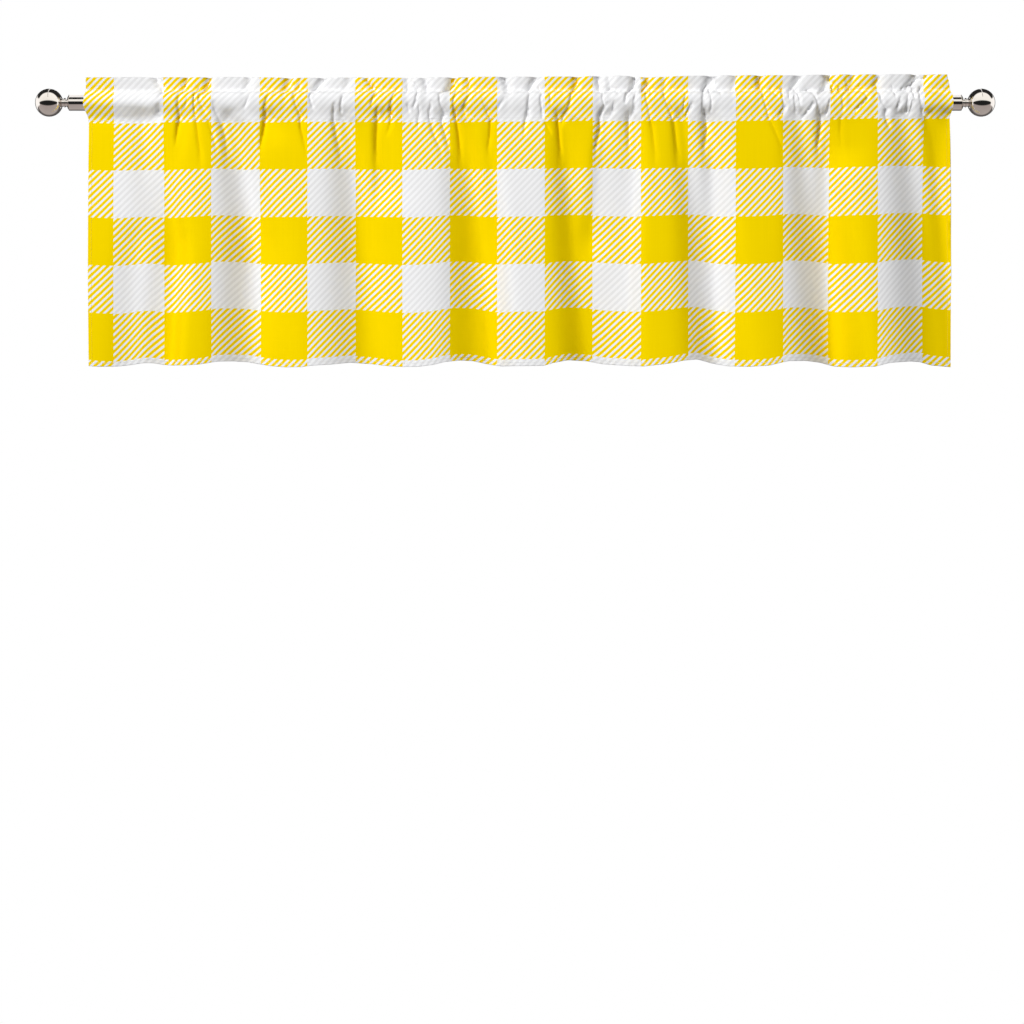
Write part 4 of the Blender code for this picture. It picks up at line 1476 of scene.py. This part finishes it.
# Narrow reflectors for the bare tube, and the angles up from the front that they cover.
# The balls show them as a faint thin line.
PANELS = table(
    "name low high glow",
    ("black_panel", 43.0, 78.0, 0.02),
    ("pale_panel", 80.0, 172.0, 1.25),
)
PANEL_REACH = 1.0
PANEL_WIDTH = 0.042
PANEL_STEPS = 12
BARE_TUBE = 0.6960


def make_world():
    """A white studio that lights softly, and whose reflectors show in the metal."""
    world = bpy.data.worlds.new("studio")
    bpy.context.scene.world = world
    w = Finish(world)
    way = w.node("ShaderNodeTexCoord", {}, {}, 0)
    out, behind, up = w.parts(way)
    angle = up.maths("ARCTAN2", up, 0.0 - behind)
    share = angle / (2.0 * math.pi) + 0.5
    stops = [((r.angle + 180.0) / 360.0, (r.red, r.green, r.blue, 1.0)) for r in REFLECTORS]
    bands = w.node("ShaderNodeValToRGB", {"stops": stops}, {0: share})
    walls = out.size().soft_step(*WALL_SIDE) * behind.soft_step(*WALL_FRONT)
    walls = walls * (1.0 - behind.soft_step(*WALL_BACK))
    walls = walls * up.soft_step(*WALL_FOOT) * (1.0 - up.soft_step(*WALL_TOP))
    reflected = w.mix(walls, bands, WHITE_WALL)
    reflectors = w.node("ShaderNodeBackground", {}, {"Color": reflected, "Strength": 1.0})
    soft = w.node("ShaderNodeBackground", {}, {"Color": PURE_WHITE, "Strength": AMBIENT})
    white = w.node("ShaderNodeBackground", {}, {"Color": PURE_WHITE, "Strength": 1.0})
    path = w.node("ShaderNodeLightPath").socket.node
    glossy = Shade(w, path.outputs["Is Glossy Ray"])
    seen = Shade(w, path.outputs["Is Camera Ray"])
    lit = w.node("ShaderNodeMixShader", {}, {0: glossy, 1: soft, 2: reflectors})
    both = w.node("ShaderNodeMixShader", {}, {0: seen, 1: lit, 2: white})
    w.node("ShaderNodeOutputWorld", {}, {"Surface": both})


def make_panel(panel):
    """A curved reflector out from each end of the tube that only reflections show."""
    f = new_finish(panel.name)
    glow = f.node("ShaderNodeEmission", {}, {"Color": PURE_WHITE, "Strength": panel.glow})
    f.node("ShaderNodeOutputMaterial", {}, {"Surface": glow})
    middle = BARE_TUBE * (1.0 + PANEL_REACH / CAMERA_REACH)
    points, faces = [], []
    for side in (-1.0, 1.0):
        start = len(points)
        for i in range(PANEL_STEPS + 1):
            angle = math.radians(blend(panel.low, panel.high, i / PANEL_STEPS))
            y, z = -PANEL_REACH * math.cos(angle), PANEL_REACH * math.sin(angle)
            for edge in (-0.5, 0.5):
                points.append((side * middle + edge * PANEL_WIDTH, y, z))
        for i in range(start, start + 2 * PANEL_STEPS, 2):
            faces.append((i, i + 1, i + 3, i + 2))
    holder = add_piece(panel.name, new_mesh(panel.name, points, faces, f.owner))
    holder.visible_camera = False
    holder.visible_diffuse = False
    holder.visible_shadow = False


def make_floor():
    """A plain pale floor, well below the valance."""
    f = new_finish("pale_floor")
    speckle = f.noise(f.position(), FLOOR_SPECKLE, CLOUD_DETAIL)
    colour = f.mix(speckle, FLOOR_WHITE, darker(FLOOR_WHITE, FLOOR_DARKEST))
    finish = f.surface({"Base Color": colour, "Roughness": FLOOR_ROUGHNESS})
    front = [(-FLOOR_REACH, -FLOOR_REACH, FLOOR_LEVEL), (FLOOR_REACH, -FLOOR_REACH, FLOOR_LEVEL)]
    back = [(FLOOR_REACH, FLOOR_BACK, FLOOR_LEVEL), (-FLOOR_REACH, FLOOR_BACK, FLOOR_LEVEL)]
    floor = add_piece("floor", new_mesh("floor", front + back, [(0, 1, 2, 3)], finish))
    floor.visible_diffuse = False
    floor.visible_glossy = False


def make_studio():
    """Camera, light, reflectors and floor."""
    make_camera()
    make_world()
    for lamp in LAMPS:
        add_area_light(lamp)
    make_floor()
    for panel in PANELS:
        make_panel(panel)
    bpy.context.scene.view_settings.view_transform = "Standard"


# ------------------------------------------------------------------ the whole part


def make_part():
    """Every piece, each attached to the root body, with the imported solids that they replace
    hidden.
    """
    cloth = make_cloth(cloth_finish())
    seams, sides = stitch_paths()
    white_thread = thread_finish("white_thread", THREAD_WHITE)
    gold_thread = thread_finish("gold_thread", THREAD_GOLD)
    stitching = make_stitching("stitching", seams, white_thread)
    side_stitching = make_stitching("side_stitching", sides, gold_thread)
    rod = make_rod(nickel_finish("rod_nickel", ROD_ROUGHNESS))
    finial_nickel = nickel_finish("finial_nickel", FINIAL_ROUGHNESS)
    left = make_finial("ball_left", -1.0, finial_nickel)
    right = make_finial("ball_right", 1.0, finial_nickel)

    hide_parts("valance")
    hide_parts("rod")
    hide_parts("finial_left")
    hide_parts("finial_right")
    for piece, slot in (
        (cloth, "cloth"),
        (stitching, "cloth"),
        (side_stitching, "cloth"),
        (rod, "rod"),
        (left, "finial"),
        (right, "finial"),
    ):
        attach(piece, "root")


make_studio()
make_part()
